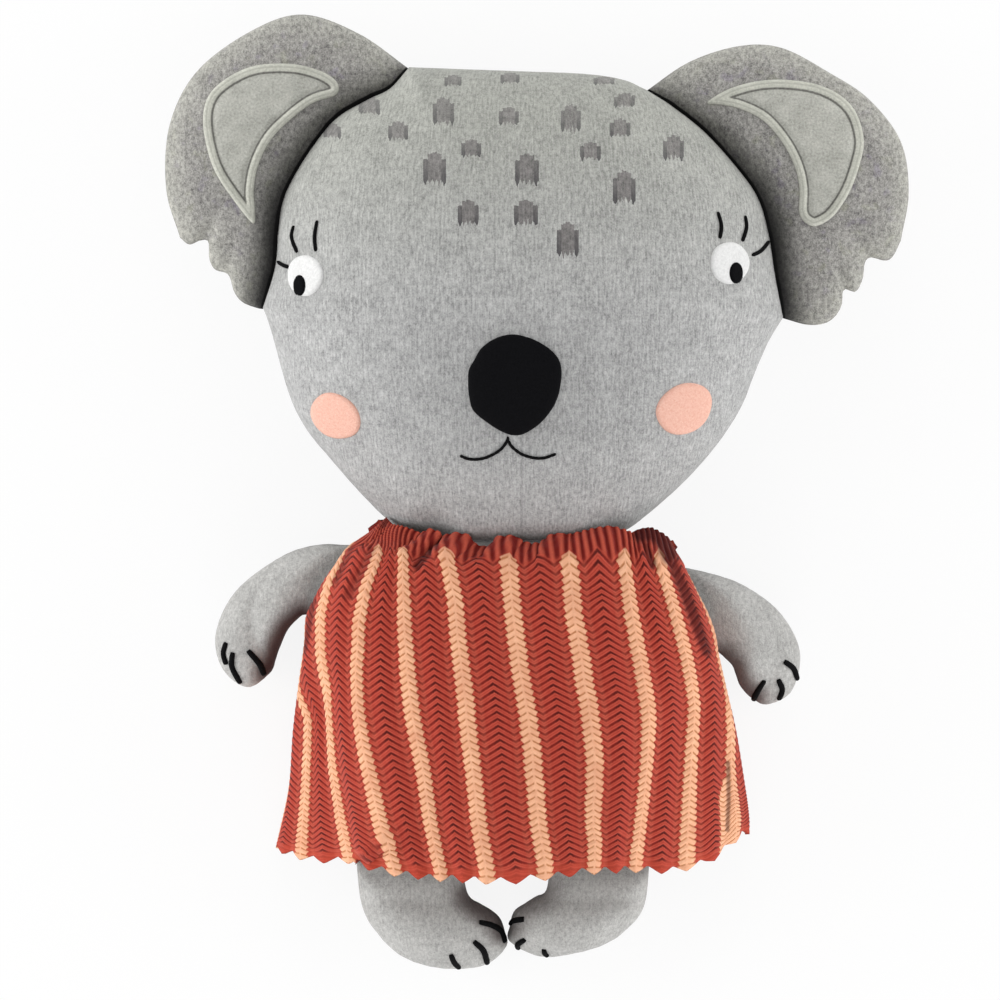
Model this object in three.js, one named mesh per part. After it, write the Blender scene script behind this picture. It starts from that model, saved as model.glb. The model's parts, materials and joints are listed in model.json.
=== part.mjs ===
// A stuffed koala cushion in grey knit that wears a striped knitted dress and lies on its back.
// All lengths are in millimetres. +Z points out of the face and the tummy, +Y from the feet to the
// crown, and +X to the right of someone who looks down at the face, so left and right in the names
// below are the viewer's. The surface that the toy lies on is z = 0.

import * as THREE from 'three';
import { mergeVertices } from 'three/addons/utils/BufferGeometryUtils.js';

// Where the centre line and the neck seam lie, seen from the middle of the whole outline
const CENTRE_X = -6.7;
const NECK_Y = -22.66;

// Cloth, thread, and the room between pieces that touch
const FABRIC = 2;
const KNIT = 3;
const PATCH = 1.2;
const THREAD_WIDTH = 1.8;
const THREAD_THICKNESS = 1.2;
const GAP = 0.3;

// Height of the side seam where the front panels meet the back panels, and how boxy a full panel is
const SEAM_Z = 38;
const SWELL_POWER = 2.5;

// Head: the widest and tallest measure of its outline, and how far it swells either side of the seam
const HEAD_WIDTH = 245;
const HEAD_HEIGHT = 223;
const HEAD_RISE = 67;
const HEAD_DROP = 47;
const NECK_WIDTH = 63;

// Ears: how far each one reaches out from the line between its roots, and how full both are
const LEFT_EAR_REACH = 85.8;
const RIGHT_EAR_REACH = 90.5;
const EAR_RISE = 15;
const EAR_DROP = 13;
const TOPSTITCH_INSET = 4;

// Body without its limbs
const BODY_WIDTH = 190.8;
const BODY_HEIGHT = 161.6;
const BODY_RISE = 44;
const BODY_DROP = 43;

// Limbs: their thickness, and the length over which they sink from the body's side seam until they
// lie on the surface below. An underside that is fuller than the front is pressed flat there.
const ARM_THICKNESS = 35;
const ARM_SINK = 30;
const LEG_THICKNESS = 46;
const LEG_SINK = 20;
const UNDERSIDE_FULLNESS = 1.14;

// Limbs and ears start flat where they are sewn on, and thicken like a wedge
const ROOT_THICKNESS = 1;
const LIMB_ROOT_SLOPE = 0.9;
const EAR_ROOT_SLOPE = 2;

// Face patches: the middle, from the centre line and the neck seam, the half width and height, and
// the turn in radians
const NOSE = { at: [-3.8, 73.7], half: [22.1, 23.7], turn: 0 };
const LEFT_EYE = { at: [-102.2, 125.1], half: [8.2, 9.7], turn: 0 };
const RIGHT_EYE = { at: [97.3, 131], half: [9.2, 9.9], turn: 0 };
const LEFT_PUPIL = { at: [-104.6, 121], half: [3.1, 4.4], turn: 0 };
const RIGHT_PUPIL = { at: [99.9, 127], half: [3.3, 4.4], turn: 0 };
const LEFT_CHEEK = { at: [-88.3, 58.9], half: [12.5, 9.9], turn: -0.6 };
const RIGHT_CHEEK = { at: [75.9, 62.4], half: [13.9, 11.3], turn: 0.6 };

// Dress: how high its front rises, how high its sides lie beside the arms, how loosely it lies over
// the body, its zigzag hem and the elastic cord in its neckline
const DRESS_CREST = 84;
const DRESS_SIDE = 50;
const DRESS_EASE = 1.5;
const DRESS_ZIGZAGS = 20;
const HEM_DEPTH = 3.6;
const ELASTIC_DIAMETER = 2.4;

const GREY_KNIT = '#aaaaa8';
const DARK_GREY_KNIT = '#82807e';
const PALE_GREY_KNIT = '#abaca4';
const BLACK = '#0d0d0f';
const WHITE = '#e8e8e6';
const PINK = '#fdc4b2';
const RUST = '#c4422c';
const STUFFING = '#f2efe8';
const ELASTIC = '#efe9df';

const toy = new THREE.Group();
toy.position.set(CENTRE_X, NECK_Y, 0);

function add(name, geometry, color) {
  const material = new THREE.MeshStandardMaterial({ color, roughness: 0.95, metalness: 0 });
  const mesh = new THREE.Mesh(geometry, material);
  mesh.name = name;
  toy.add(mesh);
}

const flat = ([x, y]) => new THREE.Vector2(x, y);
const middleOf = (points) => points
  .reduce((sum, p) => sum.add(p), new THREE.Vector2())
  .divideScalar(points.length);

// Evenly spaced points of a smooth curve through the given ones
const along = (points, steps) => new THREE.SplineCurve(points).getSpacedPoints(steps);

// The same without the last point, where the next stretch of an outline starts
const through = (points, steps) => along(points, steps).slice(0, -1);

// Points of a straight stretch, without the last
function straight(start, end, steps) {
  return Array.from({ length: steps }, (_, i) => start.clone().lerp(end, i / steps));
}

// The four-sided faces between neighbouring rows. Wrapped rows run all the way round.
function weave(rows, wrapped) {
  const faces = [];
  for (let i = 0; i + 1 < rows.length; i += 1) {
    const columns = rows[i].length;
    for (let j = 0; j < (wrapped ? columns : columns - 1); j += 1) {
      const k = (j + 1) % columns;
      faces.push([rows[i][j], rows[i + 1][j], rows[i + 1][k], rows[i][k]]);
    }
  }
  return faces;
}

// A solid from four-sided faces that close: joins equal corners, leaves out triangles without area
// and turns the faces outwards
function solid(faces) {
  const corners = faces.flatMap(([a, b, c, d]) => [a, b, c, a, c, d]);
  const merged = mergeVertices(new THREE.BufferGeometry().setFromPoints(corners), 1e-3);
  const place = merged.getAttribute('position');
  const at = (i) => new THREE.Vector3().fromBufferAttribute(place, i);
  const index = [];
  let volume = 0;
  for (let i = 0; i < merged.index.count; i += 3) {
    const [a, b, c] = [0, 1, 2].map((k) => merged.index.getX(i + k));
    if (a !== b && b !== c && c !== a) {
      index.push(a, b, c);
      volume += at(a).dot(at(b).cross(at(c)));
    }
  }
  merged.setIndex(volume > 0 ? index : index.reverse());
  merged.computeVertexNormals();
  return merged;
}

// The same faces seen from the other side, still split along the same diagonals
const turned = (faces) => faces.map(([a, b, c, d]) => [a, d, c, b]);

// The solid between two sheets of points with the same rows and columns
function between(upper, lower, wrapped) {
  const first = weave([lower[0], upper[0]], wrapped);
  const last = weave([upper.at(-1), lower.at(-1)], wrapped);
  const faces = [...weave(upper, wrapped), ...turned(weave(lower, wrapped)), ...first, ...last];
  if (!wrapped) {
    const side = (rows, end) => rows.map((row) => row.at(end));
    faces.push(...weave([side(upper, 0), side(lower, 0)], false));
    faces.push(...weave([side(lower, -1), side(upper, -1)], false));
  }
  return solid(faces);
}

// Distance in the plane from the line through the given points
function distanceFrom(line) {
  return (p) => {
    const distances = line.slice(1).map((end, i) => {
      const run = end.clone().sub(line[i]);
      const share = p.clone().sub(line[i]).dot(run) / run.lengthSq();
      return p.distanceTo(line[i].clone().addScaledVector(run, THREE.MathUtils.clamp(share, 0, 1)));
    });
    return Math.min(...distances);
  };
}

// How full a panel is at a share r of the way from its middle to its seam
const swell = (r) => Math.sqrt(Math.max(0, 1 - r ** SWELL_POWER));

// Shares for the rings of a panel, from its seam to its middle, evenly spread over its bulge. A
// panel that is pressed flat before it is full has one flat face inside its last ring.
function ringShares(fullness, count) {
  const last = Math.asin(Math.min(1, fullness));
  const angles = Array.from({ length: count + 1 }, (_, i) => (last * i) / count);
  const shares = angles.map((angle) => Math.cos(angle) ** (2 / SWELL_POWER));
  return fullness < 1 ? [...shares, 0] : shares;
}

// Height and outward direction of a surface that is given as a height over the plane
function surfaceOf(height) {
  const step = 0.5;
  return (x, y) => {
    const slopeX = (height(x + step, y) - height(x - step, y)) / (2 * step);
    const slopeY = (height(x, y + step) - height(x, y - step)) / (2 * step);
    const normal = new THREE.Vector3(-slopeX, -slopeY, 1).normalize();
    return { point: new THREE.Vector3(x, y, height(x, y)), normal };
  };
}

// Share of the way from the middle to a closed outline, past 1 outside it
function shareWithin(outline, middle) {
  return (x, y) => {
    const way = new THREE.Vector2(x, y).sub(middle);
    const crossings = outline.map((corner, i) => {
      const edge = outline[(i + 1) % outline.length].clone().sub(corner);
      const start = corner.clone().sub(middle);
      const across = way.cross(edge);
      const place = start.cross(way) / across;
      return place >= 0 && place <= 1 ? across / start.cross(edge) : 0;
    });
    return Math.max(...crossings);
  };
}

// A stuffed pad: a front and a back panel that meet at the side seam, and the stuffing inside them.
// A pad with a root is thin there, and sinks from the side seam to its own seam height.
function pad({ outline, middle, rise, drop, rest, rings, root, slope, seam = SEAM_Z, sink = 1 }) {
  const fromRoot = root ? distanceFrom(root) : () => Infinity;
  const wedge = (p) => (root ? ROOT_THICKNESS / 2 + slope * fromRoot(p) : Infinity);
  const seamAt = (p) => THREE.MathUtils.lerp(SEAM_Z, seam, Math.min(1, fromRoot(p) / sink));
  const half = (p, r, depth, inset) => (
    Math.min((depth - inset) * swell(r), Math.max(GAP / 2, wedge(p) - inset))
  );
  const frontZ = (p, r, inset, lip) => seamAt(p) + lip + half(p, r, rise - lip, inset);
  const backZ = (p, r, inset, lip) => (
    Math.max(rest + inset, seamAt(p) - lip - half(p, r, drop - lip, inset))
  );
  const sheet = (shares, height, inset, lip) => shares.map((r) => outline.map((corner) => {
    const spoke = corner.clone().sub(middle);
    const p = middle.clone().addScaledVector(spoke, r * (1 - inset / spoke.length()));
    return new THREE.Vector3(p.x, p.y, height(p, r, inset, lip));
  }));

  const [frontCount, backCount] = rings;
  const frontShares = ringShares(1, frontCount);
  const backShares = ringShares((seam - rest) / drop, backCount);
  const panel = (shares, height) => between(
    sheet(shares, height, 0, GAP / 2),
    sheet(shares, height, FABRIC, GAP / 2),
    true,
  );
  const filling = [
    ...weave(sheet(frontShares, frontZ, FABRIC + GAP, 0), true),
    ...turned(weave(sheet(backShares, backZ, FABRIC + GAP, 0), true)),
  ];
  const share = shareWithin(outline, middle);
  const height = (x, y) => frontZ(new THREE.Vector2(x, y), share(x, y), 0, GAP / 2);
  return {
    front: panel(frontShares, frontZ),
    back: panel(backShares, backZ),
    stuffing: solid(filling),
    surface: surfaceOf(height),
    height,
    share,
  };
}

function addPad(name, color, shape) {
  const made = pad(shape);
  add(`${name}_front`, made.front, color);
  add(`${name}_back`, made.back, color);
  add(`${name}_stuffing`, made.stuffing, STUFFING);
  return made;
}

// A cloth patch sewn on a surface, inside a closed outline
function patch(outline, surface, { lift = 0, rings = 2 } = {}) {
  const middle = middleOf(outline);
  const shares = Array.from({ length: rings + 1 }, (_, i) => 1 - i / rings);
  const sheet = (height) => shares.map((r) => outline.map((corner) => {
    const p = middle.clone().lerp(corner, r);
    const { point, normal } = surface(p.x, p.y);
    return point.addScaledVector(normal, height);
  }));
  return between(sheet(lift + GAP + PATCH), sheet(lift + GAP), true);
}

// A sewn thread with a four-cornered section that lies on a surface
function thread(points, surface, { lift = 0, closed = false } = {}) {
  const places = points.map((p) => surface(p.x, p.y));
  const count = places.length;
  const rows = places.map(({ point, normal }, i) => {
    const before = closed ? (i + count - 1) % count : Math.max(0, i - 1);
    const after = closed ? (i + 1) % count : Math.min(count - 1, i + 1);
    const way = places[after].point.clone().sub(places[before].point);
    const side = way.cross(normal).setLength(THREAD_WIDTH / 2);
    const corner = (across, height) => point.clone()
      .addScaledVector(side, across)
      .addScaledVector(normal, lift + GAP + height);
    const middleHeight = THREAD_THICKNESS / 2;
    return [corner(-1, middleHeight), corner(0, THREAD_THICKNESS), corner(1, middleHeight), corner(0, 0)];
  });
  if (closed) {
    return solid(weave([...rows, rows[0]], true));
  }
  const end = (row) => row.map(() => row[0].clone().lerp(row[2], 0.5));
  return solid(weave([end(rows[0]), ...rows, end(rows.at(-1))], true));
}

// A short curved stitch through the given points
const stitch = (points, surface, steps = 5) => thread(along(points.map(flat), steps), surface);

function ellipse({ at, half, turn }, steps) {
  return Array.from({ length: steps }, (_, i) => {
    const angle = (2 * Math.PI * i) / steps;
    const offset = new THREE.Vector2(half[0] * Math.cos(angle), half[1] * Math.sin(angle));
    return offset.rotateAround(new THREE.Vector2(), turn).add(flat(at));
  });
}

// Head: its outline is given as shares of half its width and of its height, clockwise from the neck

const headPoint = ([u, v]) => new THREE.Vector2((u * HEAD_WIDTH) / 2, v * HEAD_HEIGHT + GAP / 2);
const neckEnd = (side, y) => new THREE.Vector2((side * NECK_WIDTH) / 2, y);

const leftJaw = [[-0.435, 0.017], [-0.619, 0.097], [-0.835, 0.237], [-0.95, 0.4], [-1, 0.492]];
const leftEarSeam = [[-1, 0.492], [-0.942, 0.653], [-0.873, 0.777], [-0.7115, 0.895], [-0.438, 1]];
const crown = [[-0.438, 1], [-0.023, 0.9916], [0.231, 0.986], [0.473, 0.9525]];
const rightEarSeam = [[0.473, 0.9525], [0.704, 0.86], [0.838, 0.777], [0.946, 0.644], [1, 0.471]];
const rightJaw = [[1, 0.471], [0.946, 0.422], [0.838, 0.281], [0.608, 0.118], [0.435, 0.036]];

const leftSeamLine = along(leftEarSeam.map(headPoint), 6);
const rightSeamLine = along(rightEarSeam.map(headPoint), 6);
const headNeck = [-1, 1].map((side) => neckEnd(side, GAP / 2));
const headMiddle = headPoint([0, 0.52]);

const head = addPad('head', GREY_KNIT, {
  outline: [
    ...through([headNeck[0], ...leftJaw.map(headPoint)], 6),
    ...leftSeamLine.slice(0, -1),
    ...through(crown.map(headPoint), 4),
    ...rightSeamLine.slice(0, -1),
    ...through([...rightJaw.map(headPoint), headNeck[1]], 6),
    ...straight(headNeck[1], headNeck[0], 3),
  ],
  middle: headMiddle,
  rise: HEAD_RISE,
  drop: HEAD_DROP,
  rest: 0,
  rings: [7, 4],
});

// Face

const onPatch = { lift: GAP + PATCH };
add('nose', patch(ellipse(NOSE, 16), head.surface, { rings: 3 }), BLACK);
add('left_eye', patch(ellipse(LEFT_EYE, 12), head.surface), WHITE);
add('right_eye', patch(ellipse(RIGHT_EYE, 12), head.surface), WHITE);
add('left_pupil', patch(ellipse(LEFT_PUPIL, 8), head.surface, { ...onPatch, rings: 1 }), BLACK);
add('right_pupil', patch(ellipse(RIGHT_PUPIL, 8), head.surface, { ...onPatch, rings: 1 }), BLACK);
add('left_cheek', patch(ellipse(LEFT_CHEEK, 12), head.surface), PINK);
add('right_cheek', patch(ellipse(RIGHT_CHEEK, 12), head.surface), PINK);

const mouth = {
  left: [[-8, 48.2], [-8.6, 46], [-12.5, 41.9], [-18.4, 39.1], [-24.5, 38.5], [-29.7, 40.2]],
  right: [[-6, 45.6], [-2.8, 42.6], [2.4, 39.6], [8, 38.6], [15.5, 41]],
};
const lashes = {
  left: [
    [[-114.4, 131.2], [-113, 130.2], [-111.6, 129.8]],
    [[-107.9, 148], [-109, 143.2], [-107.4, 136.8]],
    [[-97.1, 150.3], [-98.5, 143.2], [-97.7, 137.1]],
  ],
  right: [
    [[91.9, 154.6], [93.8, 148.4], [92.9, 143.4]],
    [[104.6, 152.7], [105.5, 147.5], [103.9, 142]],
    [[108.6, 135.4], [112.1, 137.4], [114.6, 140]],
  ],
};
for (const side of ['left', 'right']) {
  add(`mouth_stitch_${side}`, stitch(mouth[side], head.surface, 7), BLACK);
  lashes[side].forEach((points, i) => {
    add(`${side}_lash_${i + 1}`, stitch(points, head.surface, 3), BLACK);
  });
}

// Ears: the outline past the head's seam is given as shares of half the line between the roots, from
// the upper root to the lower one, and of the reach. Its lower end is scalloped by small puckers.

function ear({ name, seamLine, reach, round, scallops, patchOutline }) {
  const [upper, lower] = seamLine.at(0).y > seamLine.at(-1).y
    ? [seamLine.at(0), seamLine.at(-1)]
    : [seamLine.at(-1), seamLine.at(0)];
  const centre = middleOf([upper, lower]);
  const down = lower.clone().sub(centre);
  const out = new THREE.Vector2(down.y, -down.x).setLength(reach);
  if (out.dot(centre.clone().sub(headMiddle)) < 0) out.negate();
  const place = ([s, t]) => centre.clone().addScaledVector(down, s).addScaledVector(out, t);
  const clear = (p) => p.clone().add(p.clone().sub(headMiddle).setLength(GAP * 1.5));
  const root = [...seamLine].sort((a, b) => b.y - a.y).map(clear);
  const made = addPad(name, DARK_GREY_KNIT, {
    outline: [
      ...through([root[0], ...round.map(place)], 9),
      ...[round.at(-1), ...scallops].map(place),
      ...[...root].reverse().slice(0, -1),
    ],
    middle: place([0.05, 0.52]),
    rise: EAR_RISE,
    drop: EAR_DROP,
    rest: 0,
    rings: [5, 3],
    root,
    slope: EAR_ROOT_SLOPE,
  });
  const border = through([...patchOutline, patchOutline[0]].map(place), 24);
  const patchMiddle = middleOf(border);
  const inside = border.map((p) => {
    const spoke = p.clone().sub(patchMiddle);
    return patchMiddle.clone().addScaledVector(spoke, 1 - TOPSTITCH_INSET / spoke.length());
  });
  add(`${name}_patch`, patch(border, made.surface, { rings: 5 }), PALE_GREY_KNIT);
  add(`${name}_topstitch`, thread(inside, made.surface, { ...onPatch, closed: true }), DARK_GREY_KNIT);
}

ear({
  name: 'left_ear',
  seamLine: leftSeamLine,
  reach: LEFT_EAR_REACH,
  round: [[-1.02, 0.33], [-0.93, 0.65], [-0.64, 0.846], [-0.19, 0.987], [0.24, 0.96], [0.635, 0.795],
    [0.881, 0.59]],
  scallops: [[0.825, 0.487], [0.8, 0.447], [0.9, 0.393], [0.946, 0.334], [0.928, 0.258], [1.01, 0.182],
    [1.043, 0.108]],
  patchOutline: [[0.527, 0.286], [0.441, 0.474], [0.334, 0.634], [0.166, 0.77], [0.009, 0.845],
    [-0.14, 0.857], [-0.315, 0.803], [-0.462, 0.712], [-0.593, 0.555], [-0.649, 0.42], [-0.656, 0.327],
    [-0.554, 0.266], [-0.434, 0.345], [-0.265, 0.401], [-0.06, 0.44], [0.14, 0.429], [0.31, 0.381]],
});

ear({
  name: 'right_ear',
  seamLine: rightSeamLine,
  reach: RIGHT_EAR_REACH,
  round: [[-1.013, 0.267], [-0.923, 0.533], [-0.744, 0.72], [-0.397, 0.867], [-0.078, 0.971], [0.317, 1],
    [0.676, 0.9], [0.961, 0.733]],
  scallops: [[1.028, 0.608], [0.954, 0.554], [0.963, 0.514], [1.058, 0.461], [1.115, 0.395],
    [1.056, 0.347], [1.144, 0.298], [1.197, 0.2], [1.134, 0.084]],
  patchOutline: [[-0.683, 0.233], [-0.685, 0.373], [-0.62, 0.529], [-0.514, 0.661], [-0.366, 0.781],
    [-0.195, 0.856], [-0.022, 0.875], [0.173, 0.836], [0.306, 0.757], [0.447, 0.637], [0.54, 0.501],
    [0.497, 0.361], [0.392, 0.351], [0.224, 0.42], [0.063, 0.457], [-0.132, 0.465], [-0.347, 0.439],
    [-0.517, 0.364]],
});

// Body: its outline is given as shares of half its width and of its height, down from the neck

const bodyPoint = ([u, v]) => new THREE.Vector2((u * BODY_WIDTH) / 2, v * BODY_HEIGHT - GAP / 2);
const bodyNeck = [-1, 1].map((side) => neckEnd(side, -GAP / 2));
const leftArmRoot = [[-0.84, -0.006], [-1.042, -0.213]].map(bodyPoint);
const rightArmRoot = [[0.78, -0.07], [0.958, -0.312]].map(bodyPoint);
const leftLegRoot = [[-0.825, -1], [-0.306, -1]].map(bodyPoint);
const rightLegRoot = [[0.627, -1], [0.133, -1]].map(bodyPoint);
const leftSide = [[-1.013, -0.405], [-0.933, -0.639], [-0.854, -0.843]].map(bodyPoint);
const rightSide = [[0.696, -0.843], [0.785, -0.639], [0.904, -0.434]].map(bodyPoint);

const body = addPad('body', GREY_KNIT, {
  outline: [
    ...straight(bodyNeck[0], leftArmRoot[0], 3),
    ...straight(...leftArmRoot, 3),
    ...through([leftArmRoot[1], ...leftSide, leftLegRoot[0]], 4),
    ...straight(...leftLegRoot, 3),
    ...through([leftLegRoot[1], bodyPoint([-0.089, -0.965]), rightLegRoot[1]], 2),
    ...straight(rightLegRoot[1], rightLegRoot[0], 3),
    ...through([rightLegRoot[0], ...rightSide, rightArmRoot[1]], 4),
    ...straight(rightArmRoot[1], rightArmRoot[0], 3),
    ...through([rightArmRoot[0], bodyPoint([0.627, -0.015]), bodyNeck[1]], 3),
    ...straight(bodyNeck[1], bodyNeck[0], 2),
  ],
  middle: bodyPoint([-0.063, -0.526]),
  rise: BODY_RISE,
  drop: BODY_DROP,
  rest: KNIT + GAP,
  rings: [6, 3],
});

// Limbs: all points are measured from the middle of the seam that sews the limb to the body

function limb({ name, root, thickness, sink, outer, tip, inner, middle, claws }) {
  const rootMiddle = middleOf(root);
  const place = (offset) => flat(offset).add(rootMiddle);
  const chord = root[1].clone().sub(root[0]);
  const away = new THREE.Vector2(chord.y, -chord.x).setLength(GAP);
  if (away.dot(flat(middle)) < 0) away.negate();
  const [start, end] = root.map((p) => p.clone().add(away));
  const edge = [start, ...[...outer, tip, ...inner].map(place), end];
  const made = addPad(name, GREY_KNIT, {
    outline: [...through(edge, 16), ...straight(end, start, 3)],
    middle: place(middle),
    rise: thickness / 2,
    drop: (thickness / 2) * UNDERSIDE_FULLNESS,
    rest: 0,
    rings: [5, 3],
    root: [start, end],
    slope: LIMB_ROOT_SLOPE,
    seam: thickness / 2,
    sink,
  });
  claws.forEach((points, i) => {
    const placed = points.map((offset) => place(offset).toArray());
    add(`${name}_claw_${i + 1}`, stitch(placed, made.surface, 4), BLACK);
  });
}

limb({
  name: 'left_arm',
  root: leftArmRoot,
  thickness: ARM_THICKNESS,
  sink: ARM_SINK,
  outer: [[-6.9, 16.2], [-24.2, 10.5], [-45.4, -5.5], [-55, -25.3], [-52, -42.2]],
  tip: [-40.2, -51.1],
  inner: [[-29.5, -44.5], [-26.7, -38.5], [-24.8, -32.8], [-20, -22.9], [-13.9, -17.7]],
  middle: [-35.1, -15.8],
  claws: [
    [[-49.5, -29], [-50, -33], [-49, -37.5]],
    [[-45.5, -34.5], [-46, -39], [-44, -44]],
    [[-39, -36], [-36.8, -40], [-35.5, -43.5]],
  ],
});

limb({
  name: 'right_arm',
  root: rightArmRoot,
  thickness: ARM_THICKNESS,
  sink: ARM_SINK,
  outer: [[4.3, 16.2], [21.2, 10.1], [38.2, -2.7], [47.6, -21], [43.9, -39.4]],
  tip: [32.5, -46],
  inner: [[25, -43.2], [19.3, -37.5], [17, -31.8], [15.1, -27.2], [10.9, -23.3]],
  middle: [27.4, -14.9],
  claws: [
    [[39, -25], [42, -28], [43.2, -33]],
    [[36, -32], [37.6, -36], [36.8, -40.5]],
    [[30.5, -33], [28.5, -37], [27, -40.5]],
  ],
});

limb({
  name: 'left_leg',
  root: leftLegRoot,
  thickness: LEG_THICKNESS,
  sink: LEG_SINK,
  outer: [[-22, -9.9], [-14.3, -23.6], [-2.2, -34.4], [15.7, -39.6], [35.6, -38.2]],
  tip: [46, -29.2],
  inner: [[45.2, -21.2], [43.2, -16], [39.3, -12.3], [33.7, -9], [28, -4.3]],
  middle: [12, -18],
  claws: [
    [[33.3, -18.5], [37.5, -20], [41, -24]],
    [[29, -26], [32.5, -29.5], [34, -34]],
    [[18.5, -30], [20, -33], [22, -36]],
  ],
});

limb({
  name: 'right_leg',
  root: rightLegRoot,
  thickness: LEG_THICKNESS,
  sink: LEG_SINK,
  outer: [[21.2, -9], [14.1, -19.8], [3.3, -27.8], [-11.8, -32.5], [-28.3, -34]],
  tip: [-42.4, -26.9],
  inner: [[-42.4, -19.4], [-40.5, -12.7], [-35.4, -9], [-30.2, -5.7], [-25.4, -2.4]],
  middle: [-11, -15],
  claws: [
    [[-32, -17.5], [-36, -18], [-38.8, -20.5]],
    [[-30, -23.5], [-34, -25.5], [-35.5, -29]],
    [[-23, -27], [-23, -29], [-22.4, -30.6]],
  ],
});

// Dress: rows from the neckline to the hem. Each has its left end, the height of its middle and its
// right end as shares of the body's half width and height, then how high its middle and its ends
// lie, as shares of the crest and of the sides beside the arms. Below the arms the ends reach the
// ground.

const GROUNDED = KNIT + GAP;
const dressRows = [
  { left: [-0.716, 0.029], middle: -0.017, right: [0.701, 0.015], crest: 0.786, ends: 0.88 },
  { left: [-0.805, -0.0235], middle: -0.061, right: [0.736, -0.044], crest: 0.881, ends: 0.98 },
  { left: [-0.899, -0.114], middle: -0.128, right: [0.781, -0.128], crest: 0.964, ends: 1 },
  { left: [-0.978, -0.195], middle: -0.225, right: [0.859, -0.254], crest: 1, ends: 1 },
  { left: [-1.069, -0.254], middle: -0.285, right: [0.968, -0.36], crest: 1, ends: 1 },
  { left: [-1.077, -0.306], middle: -0.362, right: [0.972, -0.41], crest: 1, ends: 0 },
  { left: [-1.131, -0.551], middle: -0.551, right: [1.052, -0.551], crest: 1, ends: 0 },
  { left: [-1.166, -0.741], middle: -0.77, right: [1.097, -0.726], crest: 0.964, ends: 0 },
  { left: [-1.193, -0.815], middle: -0.875, right: [1.109, -0.79], crest: 0.929, ends: 0 },
  { left: [-1.22, -0.889], middle: -0.98, right: [1.121, -0.854], crest: 0.81, ends: 0 },
];
const dressColumns = Array.from(
  { length: 2 * DRESS_ZIGZAGS + 1 },
  (_, j) => Math.sin((Math.PI / 2) * (j / DRESS_ZIGZAGS - 1)),
);

function dressPoint(row, s, shift) {
  const left = bodyPoint(row.left);
  const right = bodyPoint(row.right);
  const middleY = bodyPoint([0, row.middle]).y;
  const x = THREE.MathUtils.lerp(left.x, right.x, (1 + s) / 2);
  const tilt = ((right.y - left.y) / 2) * s;
  const bow = ((left.y + right.y) / 2 - middleY) * s * s;
  const y = middleY + tilt + bow + shift;
  const ends = Math.max(GROUNDED, row.ends * DRESS_SIDE);
  const hung = THREE.MathUtils.lerp(ends, row.crest * DRESS_CREST, Math.sqrt(1 - Math.abs(s) ** 3));
  const onBody = body.share(x, y) < 1 ? body.height(x, y) + DRESS_EASE : 0;
  return new THREE.Vector3(x, y, Math.max(hung, onBody));
}

const dressInside = dressRows.map((row) => dressColumns.map((s, j) => {
  const zigzag = row === dressRows.at(-1) ? (j % 2 - 0.5) * HEM_DEPTH : 0;
  return dressPoint(row, s, zigzag);
}));

const dressOutside = dressInside.map((row, i) => row.map((point, j) => {
  const across = row[Math.min(j + 1, row.length - 1)].clone().sub(row[Math.max(j - 1, 0)]);
  const above = dressInside[Math.max(i - 1, 0)][j];
  const below = dressInside[Math.min(i + 1, dressInside.length - 1)][j];
  const normal = across.cross(above.clone().sub(below)).setLength(KNIT);
  const moved = point.clone().add(normal);
  moved.z = Math.max(moved.z, GROUNDED);
  return moved;
}));
add('dress_front', between(dressOutside, dressInside, false), RUST);

const dressOutline = [
  ...dressInside[0],
  ...dressOutside.slice(1, -1).map((row) => row.at(-1)),
  ...[...dressInside.at(-1)].reverse(),
  ...dressOutside.slice(1, -1).map((row) => row[0]).reverse(),
];
const dressShape = new THREE.Shape(dressOutline.map((p) => new THREE.Vector2(p.x, p.y)));
add('dress_back', new THREE.ExtrudeGeometry(dressShape, { depth: KNIT, bevelEnabled: false }), RUST);

// Elastic cord inside the neckline: over the front of the body and back underneath it, where its
// middle runs this high

const cordLow = KNIT + 2.5 * GAP + ELASTIC_DIAMETER / 2;
const cordPath = new THREE.CatmullRomCurve3([
  new THREE.Vector3(-65, 3, 41),
  new THREE.Vector3(-46, -2, 56),
  new THREE.Vector3(0, -6.5, 63.5),
  new THREE.Vector3(45, -2, 56),
  new THREE.Vector3(63, 2, 41),
  new THREE.Vector3(65, 2, 22),
  new THREE.Vector3(57, 0, cordLow + 5),
  new THREE.Vector3(43, -1, cordLow),
  new THREE.Vector3(0, -5, cordLow),
  new THREE.Vector3(-43, -1, cordLow),
  new THREE.Vector3(-58, 1, cordLow + 5),
  new THREE.Vector3(-67, 3, 22),
], true);

function loop(path, diameter, steps, sides) {
  const rows = Array.from({ length: steps }, (_, i) => {
    const centre = path.getPointAt(i / steps);
    const tangent = path.getTangentAt(i / steps);
    const forward = new THREE.Vector3(0, 1, 0).projectOnPlane(tangent).normalize();
    const sideways = tangent.clone().cross(forward);
    return Array.from({ length: sides }, (__, j) => {
      const angle = (2 * Math.PI * j) / sides;
      return centre.clone()
        .addScaledVector(forward, (diameter / 2) * Math.cos(angle))
        .addScaledVector(sideways, (diameter / 2) * Math.sin(angle));
    });
  });
  return solid(weave([...rows, rows[0]], true));
}
add('neck_elastic', loop(cordPath, ELASTIC_DIAMETER, 30, 6), ELASTIC);

export default toy;
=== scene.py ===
"""Looks of the stuffed koala cushion in its striped knitted dress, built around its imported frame.

Lengths are in millimetres from the middle of the neck seam, as the photograph was measured, and
become metres in the frame's axes where a mesh is made. Left and right are the viewer's.
"""

import json
import math
from functools import partialmethod

import bmesh
import bpy
import numpy as np
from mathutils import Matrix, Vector
from mathutils.bvhtree import BVHTree
from mathutils.kdtree import KDTree

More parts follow.
